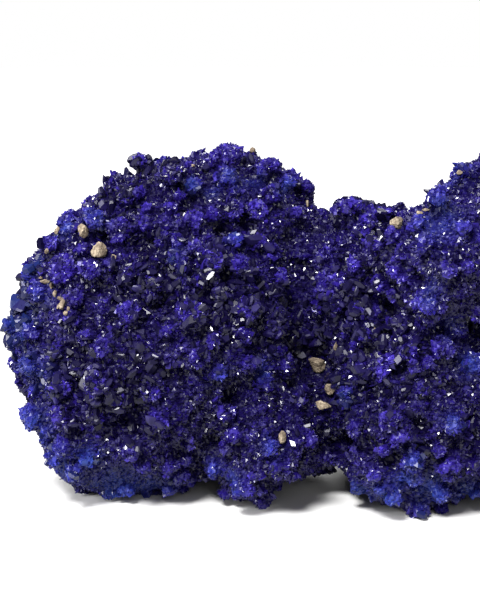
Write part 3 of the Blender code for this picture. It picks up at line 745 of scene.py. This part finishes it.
def ball_grid(rows, columns):
    """A closed ball of directions on a grid of two angles, one down from +X and one round X, with
    a single point at each pole. The direction is the cosine of the first along X, and its sine
    times the cosine and sine of the second along Y and Z."""
    down = np.linspace(0.0, math.pi, rows + 1)[1:-1, None]
    around = np.linspace(0.0, 2.0 * math.pi, columns, endpoint=False)[None, :]
    grid = [np.cos(down) + 0.0 * around, np.sin(down) * np.cos(around), np.sin(down) * np.sin(around)]
    directions = np.concatenate([np.stack(grid, axis=-1).reshape(-1, 3), [[1, 0, 0], [-1, 0, 0]]])
    index, beside, faces = ring_faces(rows - 1, columns)
    pole = np.full(columns, index.size)
    triangles = np.concatenate(
        [
            faces[:, [0, 1, 2]],
            faces[:, [0, 2, 3]],
            np.stack([pole, index[0], beside[0]], axis=1),
            np.stack([pole + 1, beside[-1], index[-1]], axis=1),
        ]
    )
    return directions, triangles


def knob_distance(points):
    """How far each point lies from the middle of the nearest small knob, in cells. Each cell of a
    cubic lattice holds one seeded middle, and the cells all round a point are looked through."""
    inside = seeded("knobs").uniform(*KNOB_MIDDLE, size=(KNOB_REPEAT,) * 3 + (3,))
    scaled = points / KNOB_CELL
    cell = np.floor(scaled).astype(int)
    nearest = np.full(len(points), np.inf)
    for shift in itertools.product((-1, 0, 1), repeat=3):
        beside = cell + shift
        middle = beside + inside[tuple((beside % KNOB_REPEAT).T)]
        nearest = np.minimum(nearest, np.linalg.norm(scaled - middle, axis=1))
    return nearest


def bead_gaps(points, beads):
    """How deep each point of the crust lies between its beads, from 0 on their tops to 1 in the
    gaps. On a bead's dome the squared distance from its middle, as a share of the squared radius,
    grows from the squared rise at the top to 1 at the foot."""
    lowest = np.full(len(points), np.inf)
    for centre, radius in beads:
        share = squared_share(points, centre, radius)
        lowest = np.minimum(lowest, (share - BEAD_RISE**2) / (1.0 - BEAD_RISE**2))
    return np.clip((lowest - GAP_START) / GAP_WIDTH, 0.0, 1.0)


class Crust:
    """The finished surface of the mass on an even net, and what differs from place to place."""

    def __init__(self, spacing):
        skin = Skin()
        pits = all_pits(skin)
        beads = all_beads(skin, pits)
        directions, triangles = ball_grid(GRID_ROWS, GRID_COLUMNS)
        points, faces = even_net(skin.at(directions), triangles, SKIN_NET)
        points = smoothed(points, faces, SMOOTHING_PASSES)
        points += point_normals(points, faces) * relief(points, beads, pits)[:, None]
        points, self.faces = even_net(points, faces, spacing)
        self.outward = point_normals(smoothed(points, self.faces, SMOOTHING_PASSES), self.faces)
        self.front = FrontView(points, self.outward)
        turned_away = self.outward @ TOWARDS_VIEWER < HIDDEN_FACING
        self.hidden = np.nonzero(turned_away & (points[:, 2] > HIDDEN_HEIGHT))[0]
        rng = seeded("spots")
        azure = self.front.placed(AZURE_SPOTS)
        azure += self.hidden_spots(points, rng, *BACK_SPOTS)
        blocky = self.front.placed(BLOCKY_ZONES)
        blocky += self.hidden_spots(points, rng, *BACK_ZONES)
        self.azure = spots_at(points, azure)
        self.blocky = spots_at(points, blocky)
        # Painted shade along the cleft: wells of shade, darkest where the cleft is deepest
        wells = [
            (place, CLEFT_SHADE * width, math.sqrt(depth / CLEFT_DEEPEST))
            for place, width, depth in cleft_pits(skin)
        ]
        shade = spots_at(points, wells)
        self.shape_knobs(points, bead_gaps(points, beads))
        # The cleft's painted shade joins the painted shade of the hollows
        self.hollow = np.maximum(self.hollow, shade)
        self.room = 1.0 - CLEFT_BARE * shade
        self.front = FrontView(self.points, self.outward)

    def shape_knobs(self, points, gaps):
        """Raises small knobs on the net, and sinks the gaps between the beads: each knob is a dome
        whose height is the root of one less the squared share of its reach, lower where blocky
        crystals grow. The painted shade darkens what lies under the net smoothed out, the gaps
        between the beads, and the grooves between the knobs, and is lighter in azure spots. The
        knobs and the sunk gaps are lower where the front view sees the crust edge on, because the
        outline there is smooth."""
        distance = knob_distance(points)
        dome = np.sqrt(np.maximum(1.0 - (distance / KNOB_REACH) ** 2, 0.0))
        raised = KNOB_RISE * dome * (1.0 - KNOB_BLOCKY * self.blocky) * (1.0 - KNOB_AZURE * self.azure)
        broad = smoothed(points, self.faces, PAINTED_SHADE_PASSES)
        depth = ((broad - points) * point_normals(broad, self.faces)).sum(axis=1)
        groove = np.clip((distance - GROOVE_START) / GROOVE_WIDTH, 0.0, 1.0)
        deep = np.clip((depth - PAINTED_SHADE_START) / PAINTED_SHADE_DEPTH, 0.0, 1.0)
        clear = (1.0 - deep) * (1.0 - GROOVE_DARK * groove) * (1.0 - GAP_DARK * gaps)
        # Painted shade: how dark the crust is painted in hollows, gaps and grooves
        self.hollow = (1.0 - clear) * (1.0 - AZURE_CLEAR * self.azure)
        facing = np.clip(np.abs(self.outward @ TOWARDS_VIEWER) / RIM_SLOPE, RIM_RELIEF, 1.0)
        moved = (raised - GAP_SUNK * gaps) * facing - DRUSE_INSET
        self.points = points + self.outward * moved[:, None]

    def hidden_spots(self, points, rng, count, radius, strength):
        """Spots spread over the sides that the front view doesn't show."""
        chosen = rng.choice(self.hidden, size=count, replace=False)
        return [(points[place], rng.uniform(*radius), rng.uniform(*strength)) for place in chosen]


@functools.lru_cache(maxsize=1)
def crust(spacing):
    """The crust on a net of one spacing in millimetres, worked out once for all the pieces."""
    return Crust(spacing)


# Materials


def set_inputs(made, **inputs):
    """Sets some of a node's sockets, named with _ for a space."""
    for name, value in inputs.items():
        made.inputs[name.replace("_", " ")].default_value = value


def node(tree, kind, **inputs):
    made = tree.nodes.new(kind)
    set_inputs(made, **inputs)
    return made


def face_value(tree, name):
    made = tree.nodes.new("ShaderNodeAttribute")
    made.attribute_name = name
    return made.outputs["Fac"]


def mix_colours(tree, share, first, second):
    """A mix of two colours by a share from a node, where each is a colour or a node's output."""
    mixed = tree.nodes.new("ShaderNodeMix")
    mixed.data_type = "RGBA"
    tree.links.new(share, mixed.inputs["Factor"])
    for name, colour in (("A", first), ("B", second)):
        socket = next(item for item in mixed.inputs if item.name == name and item.type == "RGBA")
        if isinstance(colour, bpy.types.NodeSocket):
            tree.links.new(colour, socket)
        else:
            socket.default_value = (*colour, 1.0)
    return next(item for item in mixed.outputs if item.type == "RGBA")


def ranged(tree, value, low, high, to_low, to_high):
    """A value taken from one range to another, and held at its ends."""
    made = node(tree, "ShaderNodeMapRange", From_Min=low, From_Max=high, To_Min=to_low, To_Max=to_high)
    tree.links.new(value, made.inputs["Value"])
    return made.outputs["Result"]


def object_noise(tree, size, detail=2.0):
    """Cloudy noise in the object's own coordinates, with blotches of about one size in metres."""
    place = tree.nodes.new("ShaderNodeTexCoord")
    noise = node(tree, "ShaderNodeTexNoise", Scale=1.0 / size, Detail=detail)
    tree.links.new(place.outputs["Object"], noise.inputs["Vector"])
    return noise.outputs["Fac"]


def new_material(name, **inputs):
    """A new material, its tree, and its shader with some of its sockets set."""
    material = bpy.data.materials.new(name)
    material.use_nodes = True
    shader = material.node_tree.nodes["Principled BSDF"]
    set_inputs(shader, **inputs)
    return material, material.node_tree, shader


def azurite_material(name, deep, bright, roughness):
    """Glassy azurite: deep violet blue with lighter crystals among it, azure where spots are, and
    painted near black as painted shade in the hollows, grooves, gaps between beads and the cleft."""
    look = settings()
    material, tree, shader = new_material(
        name, IOR=look.azurite_ior, Specular_IOR_Level=look.azurite_gloss
    )
    cloud = ranged(tree, object_noise(tree, CLOUD_SIZE), *CLOUD_NOISE, *CLOUD_SHARE)
    tint = face_value(tree, "tint")
    lighter = mix_colours(tree, tint, deep, bright)
    cloudy = mix_colours(tree, cloud, deep, lighter)
    azure = mix_colours(tree, face_value(tree, "azure"), cloudy, look.azure_colour)
    # Painted shade: the colour is mixed towards near black where the crust lies in hollows, grooves,
    # gaps and the cleft
    dark = mix_colours(tree, face_value(tree, "hollow"), azure, look.painted_shade_colour)
    tree.links.new(dark, shader.inputs["Base Color"])
    tree.links.new(ranged(tree, tint, 0.0, 1.0, *roughness), shader.inputs["Roughness"])
    return material


def host_rock_material():
    """Sandy host rock: greyish tan, with paler and browner grains and a rough, open surface."""
    look = settings()
    material, tree, shader = new_material(
        "host_rock", Roughness=ROCK_ROUGHNESS, Specular_IOR_Level=ROCK_GLOSS
    )
    grains = ranged(tree, object_noise(tree, SAND_SIZE, SAND_DETAIL), *SAND_NOISE, 0.0, 1.0)
    blotches = ranged(tree, object_noise(tree, BLOTCH_SIZE), *BLOTCH_NOISE, 0.0, 1.0)
    sand = mix_colours(tree, grains, look.rock_colour, look.rock_pale_colour)
    tree.links.new(mix_colours(tree, blotches, sand, look.rock_colour), shader.inputs["Base Color"])
    bump = node(tree, "ShaderNodeBump", Strength=BUMP_STRENGTH, Distance=BUMP_HEIGHT)
    tree.links.new(grains, bump.inputs["Height"])
    tree.links.new(bump.outputs["Normal"], shader.inputs["Normal"])
    return material


def floor_material():
    """A pale floor that runs out into white light, and that the crystals reflect less brightly
    than the camera sees it."""
    look = settings()
    material, tree, shader = new_material(
        "floor", Roughness=FLOOR_ROUGHNESS, Specular_IOR_Level=FLOOR_GLOSS, Emission_Color=WHITE
    )
    path = tree.nodes.new("ShaderNodeLightPath")
    seen = path.outputs["Is Camera Ray"]
    colour = mix_colours(tree, seen, look.floor_reflected_colour, look.floor_colour)
    tree.links.new(colour, shader.inputs["Base Color"])
    place = tree.nodes.new("ShaderNodeTexCoord")
    reach = tree.nodes.new("ShaderNodeVectorMath")
    reach.operation = "LENGTH"
    tree.links.new(place.outputs["Object"], reach.inputs[0])
    far = ranged(tree, reach.outputs["Value"], *FLOOR_FADE, 0.0, 1.0)
    strength = tree.nodes.new("ShaderNodeMath")
    strength.operation = "MULTIPLY"
    tree.links.new(far, strength.inputs[0])
    tree.links.new(seen, strength.inputs[1])
    tree.links.new(strength.outputs["Value"], shader.inputs["Emission Strength"])
    return material


# Druse and crystals


def cell_corners(count, local):
    """Map corners for many copies of one shape: copy number n has its own square cell, at column n
    mod side and row n over side, and the local corners, from 0 to 1, fill most of that cell."""
    side = math.ceil(math.sqrt(count))
    number = np.arange(count)
    origin = np.stack([number % side, number // side], axis=1).astype(float)
    inside = CELL_MARGIN + (1.0 - 2.0 * CELL_MARGIN) * local
    return ((origin[:, None, None, :] + inside[None]) / side).reshape(-1, 2)


def off_floor(heights):
    """Heights with what would lie under the foot plane folded up over it, to a share of how far it
    would lie under, so that no two faces lie in one plane there."""
    return np.maximum(heights, FOOT_PLANE + FOOT_FOLD * (FOOT_PLANE - heights))


def druse_points(surface, rng):
    """The net's points moved about, so that its lattice doesn't show: each moves by a seeded
    share of the net's spacing."""
    moves = rng.uniform(-DRUSE_JITTER, DRUSE_JITTER, size=surface.points.shape)
    points = surface.points + moves * settings().druse_size / MM
    points[:, 2] = off_floor(points[:, 2])
    return points


def druse_tips(surface, points, rng):
    """The tip over each face: its middle, raised along the outward normal by a seeded share of
    the spacing, and moved aside by a smaller one. Azure patches are finer and stay lower."""
    spacing = druse_spacing()
    count = len(surface.faces)
    fine = 1.0 - AZURE_FINER * surface.azure[surface.faces].mean(axis=1)
    rise = spacing * rng.uniform(*settings().druse_rise, size=count) * fine
    aside = rng.normal(size=(count, 3)) * (TIP_ASIDE * spacing)
    outward = unit(surface.outward[surface.faces].sum(axis=1))
    tips = points[surface.faces].mean(axis=1) + outward * rise[:, None] + aside
    tips[:, 2] = off_floor(tips[:, 2])
    return tips


def druse_patch(chosen, points, tips, surface, tints):
    """Part of the druse: over every face of the net stands a point with four flat sides, from the
    face's corners to its tip."""
    faces = surface.faces[chosen]
    used, local = np.unique(faces, return_inverse=True)
    local = local.reshape(-1, 4)
    tip = len(used) + np.arange(len(chosen))
    after = np.roll(local, -1, axis=1)
    triangles = np.stack([local, after, np.repeat(tip[:, None], 4, axis=1)], axis=-1).reshape(-1, 3)
    mesh = make_mesh("druse", np.concatenate([points[used], tips[chosen]]), triangles)
    azure = surface.azure[faces].mean(axis=1) * (AZURE_LEAST + (1.0 - AZURE_LEAST) * tints[chosen])
    add_values(mesh, "tint", np.repeat(tints[chosen], 4))
    add_values(mesh, "azure", np.repeat(azure, 4))
    # Painted shade: how far each face is painted towards near black in the hollows
    add_values(mesh, "hollow", np.repeat(surface.hollow[faces].mean(axis=1), 4))
    square = np.array([[0.0, 0.0], [1.0, 0.0], [1.0, 1.0], [0.0, 1.0]])
    middle = np.full((4, 2), 0.5)
    local_map = np.stack([square, np.roll(square, -1, axis=0), middle], axis=1)
    add_map(mesh, cell_corners(len(chosen), local_map))
    return mesh


def crystal_template(sides, levels):
    """A crystal on end, from its foot up to 1: rings of corners, where corner k of a ring of n
    stands at the angle k of n parts of a turn, each ring stretched to its two widths at its
    height and moved off its middle, and a flat end. The map's corners lie on rings that narrow
    towards the middle of the cell."""
    turn = 2.0 * math.pi * (np.arange(sides) + 0.5) / sides
    ring = np.stack([np.cos(turn), np.sin(turn)], axis=1)
    points, flat = [], []
    for number, (wide, deep, height, off) in enumerate(levels):
        points.append(np.column_stack([ring * (wide, deep) + (off, 0.0), np.full(sides, height)]))
        flat.append(0.5 + ring * (0.5 - RING_NARROWING * number / (len(levels) - 1)))
    index, _, walls = ring_faces(len(levels), sides)
    end = index[-1]
    fan = np.stack([np.full(sides - 2, end[0]), end[1:-1], end[2:]], axis=1)
    triangles = np.concatenate([walls[:, [0, 3, 2]], walls[:, [0, 2, 1]], fan])
    return np.concatenate(points), triangles, np.concatenate(flat)[triangles]


def crystal_turns(normals, sizes, lean, rng):
    """A three by three matrix for each crystal: it stretches the crystal by its sizes, slants its
    walls and its end by seeded amounts, and stands it up along the normal plus a seeded lean, at a
    seeded turn. Flat faces stay flat."""
    up = unit(normals + lean * rng.normal(size=normals.shape))
    side = unit(np.cross(up, rng.normal(size=up.shape)))
    stand = np.stack([side, np.cross(up, side), up], axis=1)
    slant = np.tile(np.eye(3), (len(normals), 1, 1))
    slant[:, 2, :2] = rng.normal(size=(len(normals), 2)) * WALL_SLANT
    slant[:, :2, 2] = rng.normal(size=(len(normals), 2)) * END_SLANT
    return np.einsum("nij,nj,njk->nik", slant, sizes, stand)


def crystal_mesh(places, turns, template):
    """Many copies of one crystal, each turned by its own matrix and carried to its place."""
    points, triangles, flat = template
    moved = np.einsum("vi,nij->nvj", points, turns) + places[:, None, :]
    moved[..., 2] = off_floor(moved[..., 2])
    offsets = (np.arange(len(places)) * len(points))[:, None, None]
    mesh = make_mesh("crystals", moved.reshape(-1, 3), (triangles[None] + offsets).reshape(-1, 3))
    add_map(mesh, cell_corners(len(places), flat))
    return mesh


def crystal_sizes(count, width, rng):
    """Seeded half widths, half depths and heights: many small, few large."""
    spread = width[0] + (width[1] - width[0]) * rng.random(count) ** 2
    return np.stack(
        [
            0.5 * spread * rng.uniform(*CRYSTAL_WIDE, count),
            0.5 * spread * rng.uniform(*CRYSTAL_DEEP, count),
            spread * rng.uniform(*CRYSTAL_TALL, count),
        ],
        axis=1,
    )


def chosen_places(surface, chances, count, rng):
    weights = chances / chances.sum()
    return rng.choice(len(surface.points), size=count, replace=False, p=weights)


def broken_grain(middle, half_sizes, turn, columns, rng):
    """A grain broken along seeded flats, on a grid of two angles round Z: in each direction it
    reaches to the nearest flat, as one over the root of the sum of the powers of the direction's
    share along each flat's own direction, which wears the edges round. Sine waves make it gritty,
    and its three half sizes stretch it."""
    directions, triangles = ball_grid(columns // 2, columns)
    ball = np.roll(directions, -1, axis=1)
    flats = unit(rng.normal(size=(GRAIN_FLATS, 3)))
    share = np.maximum(ball @ flats.T, 0.0) / rng.uniform(*FLAT_REACH, size=GRAIN_FLATS)
    radius = 1.0 / ((share**EDGE_POWER).sum(axis=1) + CORNER_WEAR) ** (1.0 / EDGE_POWER)
    radius += sum(ripple(ball, rng, *waves) for waves in GRAIN_WAVES)
    reach = ball * radius[:, None]
    reach /= np.abs(reach).max(axis=0)
    return middle + (reach * half_sizes) @ turn, triangles


# Operators


class SPECIMEN_OT_stage(bpy.types.Operator):
    """Builds the pale floor, the soft studio light and the camera at the photo's viewing angle"""

    bl_idname = "specimen.stage"
    bl_label = "Stage"

    def execute(self, context):
        look = settings()
        self.make_floor()
        self.make_camera(look)
        self.make_lights(look)
        self.make_world(look)
        context.scene.view_settings.view_transform = "Standard"
        return {"FINISHED"}

    def make_floor(self):
        """A disc whose point at radius r and angle a is r cos a, r sin a, on rings that widen
        outwards."""
        radius = np.concatenate([[0.0], np.geomspace(*FLOOR_RADII, FLOOR_RINGS)])[:, None] / MM
        angle = np.linspace(0.0, 2.0 * math.pi, FLOOR_SIDES, endpoint=False)[None, :]
        rings = np.stack([radius * np.cos(angle), radius * np.sin(angle), 0.0 * radius * angle], -1)
        faces = ring_faces(FLOOR_RINGS + 1, FLOOR_SIDES)[2]
        mesh = make_mesh("floor", rings.reshape(-1, 3), faces)
        mesh.materials.append(floor_material())
        floor = put("floor", mesh)

    def make_camera(self, look):
        data = bpy.data.cameras.new("camera")
        data.lens = CAMERA_LENS
        data.sensor_width = SENSOR_WIDTH
        data.clip_start = CLIP_START
        camera = put("camera", data)
        target = (VIEW_TARGET - FINISHED_MIDDLE) * MM
        camera.location = Vector(target) + Vector(TOWARDS_VIEWER) * look.camera_distance
        camera.rotation_euler = (math.radians(90.0) - VIEW_TILT, 0.0, 0.0)
        bpy.context.scene.camera = camera

    def make_lights(self, look):
        """Soft boxes that face the middle of the mass."""
        middle = Vector((0.0, 0.0, 0.5 * HEIGHT * MM))
        for name, (power, place, size) in LIGHT_BOXES.items():
            data = bpy.data.lights.new(name, "AREA")
            data.shape = "RECTANGLE"
            data.size, data.size_y = size
            data.energy = getattr(look, power)
            box = put(name, data)
            box.location = place
            box.rotation_euler = (Vector(place) - middle).to_track_quat("Z", "Y").to_euler()

    def make_world(self, look):
        """White where the camera sees it, and dimmer as a light."""
        world = bpy.data.worlds.new("studio")
        bpy.context.scene.world = world
        world.use_nodes = True
        tree = world.node_tree
        shown = tree.nodes["Background"]
        set_inputs(shown, Color=WHITE, Strength=1.0)
        lit = node(tree, "ShaderNodeBackground", Color=WHITE, Strength=look.fill_light)
        path = tree.nodes.new("ShaderNodeLightPath")
        mixed = tree.nodes.new("ShaderNodeMixShader")
        tree.links.new(path.outputs["Is Camera Ray"], mixed.inputs["Fac"])
        tree.links.new(lit.outputs["Background"], mixed.inputs[1])
        tree.links.new(shown.outputs["Background"], mixed.inputs[2])
        tree.links.new(mixed.outputs["Shader"], tree.nodes["World Output"].inputs["Surface"])


class SPECIMEN_OT_druse(bpy.types.Operator):
    """Builds the fine druse that covers the whole mass, in four pieces from left to right"""

    bl_idname = "specimen.druse"
    bl_label = "Fine druse"

    def execute(self, context):
        look = settings()
        surface = crust(druse_spacing())
        rng = seeded("druse")
        points = druse_points(surface, rng)
        tips = druse_tips(surface, points, rng)
        tints = rng.random(len(surface.faces)) ** TINT_POWER
        material = azurite_material(
            "azurite_druse", look.deep_colour, look.bright_colour, DRUSE_ROUGHNESS
        )
        along = surface.points[surface.faces[:, 0], 0]
        ends = np.quantile(along, np.arange(1, len(DRUSE_PIECES)) / len(DRUSE_PIECES))
        part = np.searchsorted(ends, along)
        for number, name in enumerate(DRUSE_PIECES):
            chosen = np.nonzero(part == number)[0]
            mesh = druse_patch(chosen, points, tips, surface, tints)
            add_piece(name, mesh, material, ["azurite_cluster"])
        return {"FINISHED"}


class SPECIMEN_OT_crystals(bpy.types.Operator):
    """Builds the small crystals that stand in the druse, and the dark blocky ones in their zones"""

    bl_idname = "specimen.crystals"
    bl_label = "Crystals"

    def execute(self, context):
        look = settings()
        surface = crust(druse_spacing())
        rng = seeded("crystals")
        small = azurite_material(
            "azurite_crystals", look.deep_colour, look.bright_colour, CRYSTAL_ROUGHNESS
        )
        dark = azurite_material(
            "azurite_blocks", look.block_colour, look.block_bright_colour, BLOCK_ROUGHNESS
        )
        chances = (SMALL_CRYSTAL_BASE + surface.blocky) * surface.room
        places = chosen_places(surface, chances, look.small_crystal_count, rng)
        self.plant(
            SMALL_CRYSTALS, surface, places, look.small_crystal_size, SMALL_CRYSTAL_LEAN, small, rng
        )
        chances = (surface.blocky**2 + BLOCK_BASE) * surface.room
        places = chosen_places(surface, chances, look.block_count, rng)
        self.plant(BLOCKS, surface, places, look.block_size, BLOCK_LEAN, dark, rng)
        return {"FINISHED"}

    def plant(self, pieces, surface, places, size, lean, material, rng):
        """Grows each of the pieces at its own share of the places, taken in turn."""
        for number, (name, shape) in enumerate(pieces.items()):
            chosen = places[number :: len(pieces)]
            self.grow(name, surface, chosen, np.array(size) / MM, shape, lean, material, rng)

    def grow(self, name, surface, chosen, width, shape, lean, material, rng):
        template = crystal_template(*shape)
        sizes = crystal_sizes(len(chosen), width, rng)
        turns = crystal_turns(surface.outward[chosen], sizes, lean, rng)
        mesh = crystal_mesh(surface.points[chosen], turns, template)
        count = len(template[1])
        azure = surface.azure[chosen] * rng.uniform(*CRYSTAL_AZURE, len(chosen))
        add_values(mesh, "tint", np.repeat(rng.random(len(chosen)), count))
        add_values(mesh, "azure", np.repeat(azure, count))
        # Painted shade: each crystal takes a share of the crust's painted shade under it
        add_values(mesh, "hollow", np.repeat(CRYSTAL_PAINTED_SHADE * surface.hollow[chosen], count))
        add_piece(name, mesh, material)


class SPECIMEN_OT_host_rock(bpy.types.Operator):
    """Builds the grains of sandy host rock in their pockets, and the crumbs among the druse"""

    bl_idname = "specimen.host_rock"
    bl_label = "Host rock"

    def execute(self, context):
        material = host_rock_material()
        for number, name in enumerate(GRAINS):
            low, high = (np.array(corner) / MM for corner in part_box(name))
            middle = (low + high) / 2.0 + FINISHED_MIDDLE + TOWARDS_VIEWER * GRAIN_STEP
            halves = GRAIN_SCALE * (high - low) / 2.0
            rng = seeded("grain", number)
            mesh = make_mesh(name, *broken_grain(middle, halves, np.eye(3), GRAIN_COLUMNS, rng))
            piece = name.replace("host_rock_grain", "sandy_grain")
            add_piece(piece, mesh, material, [name])
        self.crumbs(material)
        return {"FINISHED"}

    def crumbs(self, material):
        """Small grains: the front's own, and seeded ones on the sides that it doesn't show."""
        surface = crust(druse_spacing())
        rng = seeded("crumbs")
        placed = [(*surface.front.place(*crumb[:2]), np.array(crumb[2:])) for crumb in CRUMBS]
        for place in rng.choice(surface.hidden, size=BACK_CRUMB_COUNT, replace=False):
            width, tall = rng.uniform(*BACK_CRUMB_SIZE), rng.uniform(*BACK_CRUMB_TALL)
            size = width * np.array([1.0, tall, BACK_CRUMB_THICK])
            placed.append((surface.points[place], surface.outward[place], size))
        points, triangles, total = [], [], 0
        for number, (place, normal, (width, tall, thick)) in enumerate(placed):
            side = unit(np.cross(normal, [0.0, 0.0, 1.0]))
            turn = np.stack([side, normal, np.cross(side, normal)])
            halves = np.array([width, thick, tall]) / 2.0
            made, faces = broken_grain(place, halves, turn, CRUMB_COLUMNS, seeded("crumb", number))
            points.append(made)
            triangles.append(faces + total)
            total += len(made)
        mesh = make_mesh("crumbs", np.concatenate(points), np.concatenate(triangles))
        add_piece("host_rock_crumbs", mesh, material)


class AzuriteSettings(bpy.types.PropertyGroup):
    """Sizes and colours of the specimen, and of the stage it stands on."""

    druse_size: FloatProperty(
        name="Druse size", description="Width of one fine crystal", default=0.00044, unit="LENGTH"
    )
    druse_rise: FloatVectorProperty(
        name="Druse rise", description="Least and most height of a fine crystal, in widths",
        size=2, default=(0.2, 0.85),
    )
    small_crystal_size: FloatVectorProperty(
        name="Small crystals", description="Least and most width", size=2, unit="LENGTH",
        default=(0.00045, 0.0012),
    )
    small_crystal_count: IntProperty(
        name="Small crystal count", description="How many stand in the druse", default=13000,
        subtype="UNSIGNED",
    )
    block_size: FloatVectorProperty(
        name="Blocky crystals", description="Least and most width", size=2, unit="LENGTH",
        default=(0.0008, 0.0021),
    )
    block_count: IntProperty(
        name="Block count", description="How many blocky crystals", default=5800, subtype="UNSIGNED"
    )
    deep_colour: FloatVectorProperty(
        name="Deep blue", description="Darker crystals", subtype="COLOR",
        default=(0.012, 0.0055, 0.12),
    )
    bright_colour: FloatVectorProperty(
        name="Bright blue", description="Lighter crystals", subtype="COLOR",
        default=(0.055, 0.032, 0.40),
    )
    azure_colour: FloatVectorProperty(
        name="Azure", description="Azure spots and rims", subtype="COLOR",
        default=(0.028, 0.072, 0.40),
    )
    # Painted shade: the near-black colour that hollows, grooves, gaps between beads and the cleft are
    # painted in
    painted_shade_colour: FloatVectorProperty(
        name="Hollows", description="Azurite down in the hollows", subtype="COLOR",
        default=(0.003, 0.0015, 0.022),
    )
    block_colour: FloatVectorProperty(
        name="Dark blocks", description="Blocky crystals, the darker", subtype="COLOR",
        default=(0.004, 0.003, 0.018),
    )
    block_bright_colour: FloatVectorProperty(
        name="Lighter blocks", description="Blocky crystals, the lighter", subtype="COLOR",
        default=(0.020, 0.013, 0.11),
    )
    rock_colour: FloatVectorProperty(
        name="Host rock", description="Sandy host rock", subtype="COLOR", default=(0.17, 0.13, 0.095)
    )
    rock_pale_colour: FloatVectorProperty(
        name="Pale host rock", description="Its palest grains", subtype="COLOR",
        default=(0.43, 0.35, 0.25),
    )
    azurite_ior: FloatProperty(
        name="Refraction", description="Azurite's refractive index", default=1.6
    )
    azurite_gloss: FloatProperty(
        name="Gloss", description="Half is the full gloss", default=0.32, min=0.0, max=1.0,
        subtype="FACTOR",
    )
    floor_colour: FloatVectorProperty(
        name="Floor", description="Pale floor", subtype="COLOR", default=(0.95, 0.945, 0.93)
    )
    floor_reflected_colour: FloatVectorProperty(
        name="Reflected floor", description="The floor as the crystals reflect it", subtype="COLOR",
        default=(0.45, 0.45, 0.45),
    )
    camera_distance: FloatProperty(
        name="Camera distance", description="From the aim point", unit="LENGTH",
        default=VIEW_DISTANCE * MM,
    )
    key_light: FloatProperty(name="Key box", description="Its power", default=10.2, unit="POWER")
    front_light: FloatProperty(name="Front box", description="Its power", default=0.8, unit="POWER")
    left_light: FloatProperty(name="Left box", description="Its power", default=4.4, unit="POWER")
    right_light: FloatProperty(name="Right box", description="Its power", default=1.2, unit="POWER")
    back_light: FloatProperty(name="Back box", description="Its power", default=2.5, unit="POWER")
    fill_light: FloatProperty(
        name="Fill", description="Light from all round", default=0.06, min=0.0, max=1.0,
        subtype="FACTOR",
    )


PANEL_SETTINGS = (
    "druse_size", "small_crystal_count", "block_count", "deep_colour", "azure_colour",
)


class SPECIMEN_PT_panel(bpy.types.Panel):
    """Lists the steps that build the specimen."""

    bl_idname = "SPECIMEN_PT_panel"
    bl_label = "Azurite cluster"
    bl_space_type = "VIEW_3D"
    bl_region_type = "UI"
    bl_category = "Azurite"

    def draw(self, context):
        look = context.scene.azurite
        for name in PANEL_SETTINGS:
            self.layout.prop(look, name)
        for operator in OPERATORS:
            self.layout.operator(operator.bl_idname)


OPERATORS = (SPECIMEN_OT_stage, SPECIMEN_OT_druse, SPECIMEN_OT_crystals, SPECIMEN_OT_host_rock)
CLASSES = (AzuriteSettings, *OPERATORS, SPECIMEN_PT_panel)


def register():
    for item in CLASSES:
        bpy.utils.register_class(item)
    bpy.types.Scene.azurite = PointerProperty(type=AzuriteSettings)


def unregister():
    del bpy.types.Scene.azurite
    for item in reversed(CLASSES):
        bpy.utils.unregister_class(item)


def main():
    register()
    bpy.ops.specimen.stage()
    bpy.ops.specimen.druse()
    bpy.ops.specimen.crystals()
    bpy.ops.specimen.host_rock()


if __name__ == "__main__":
    main()
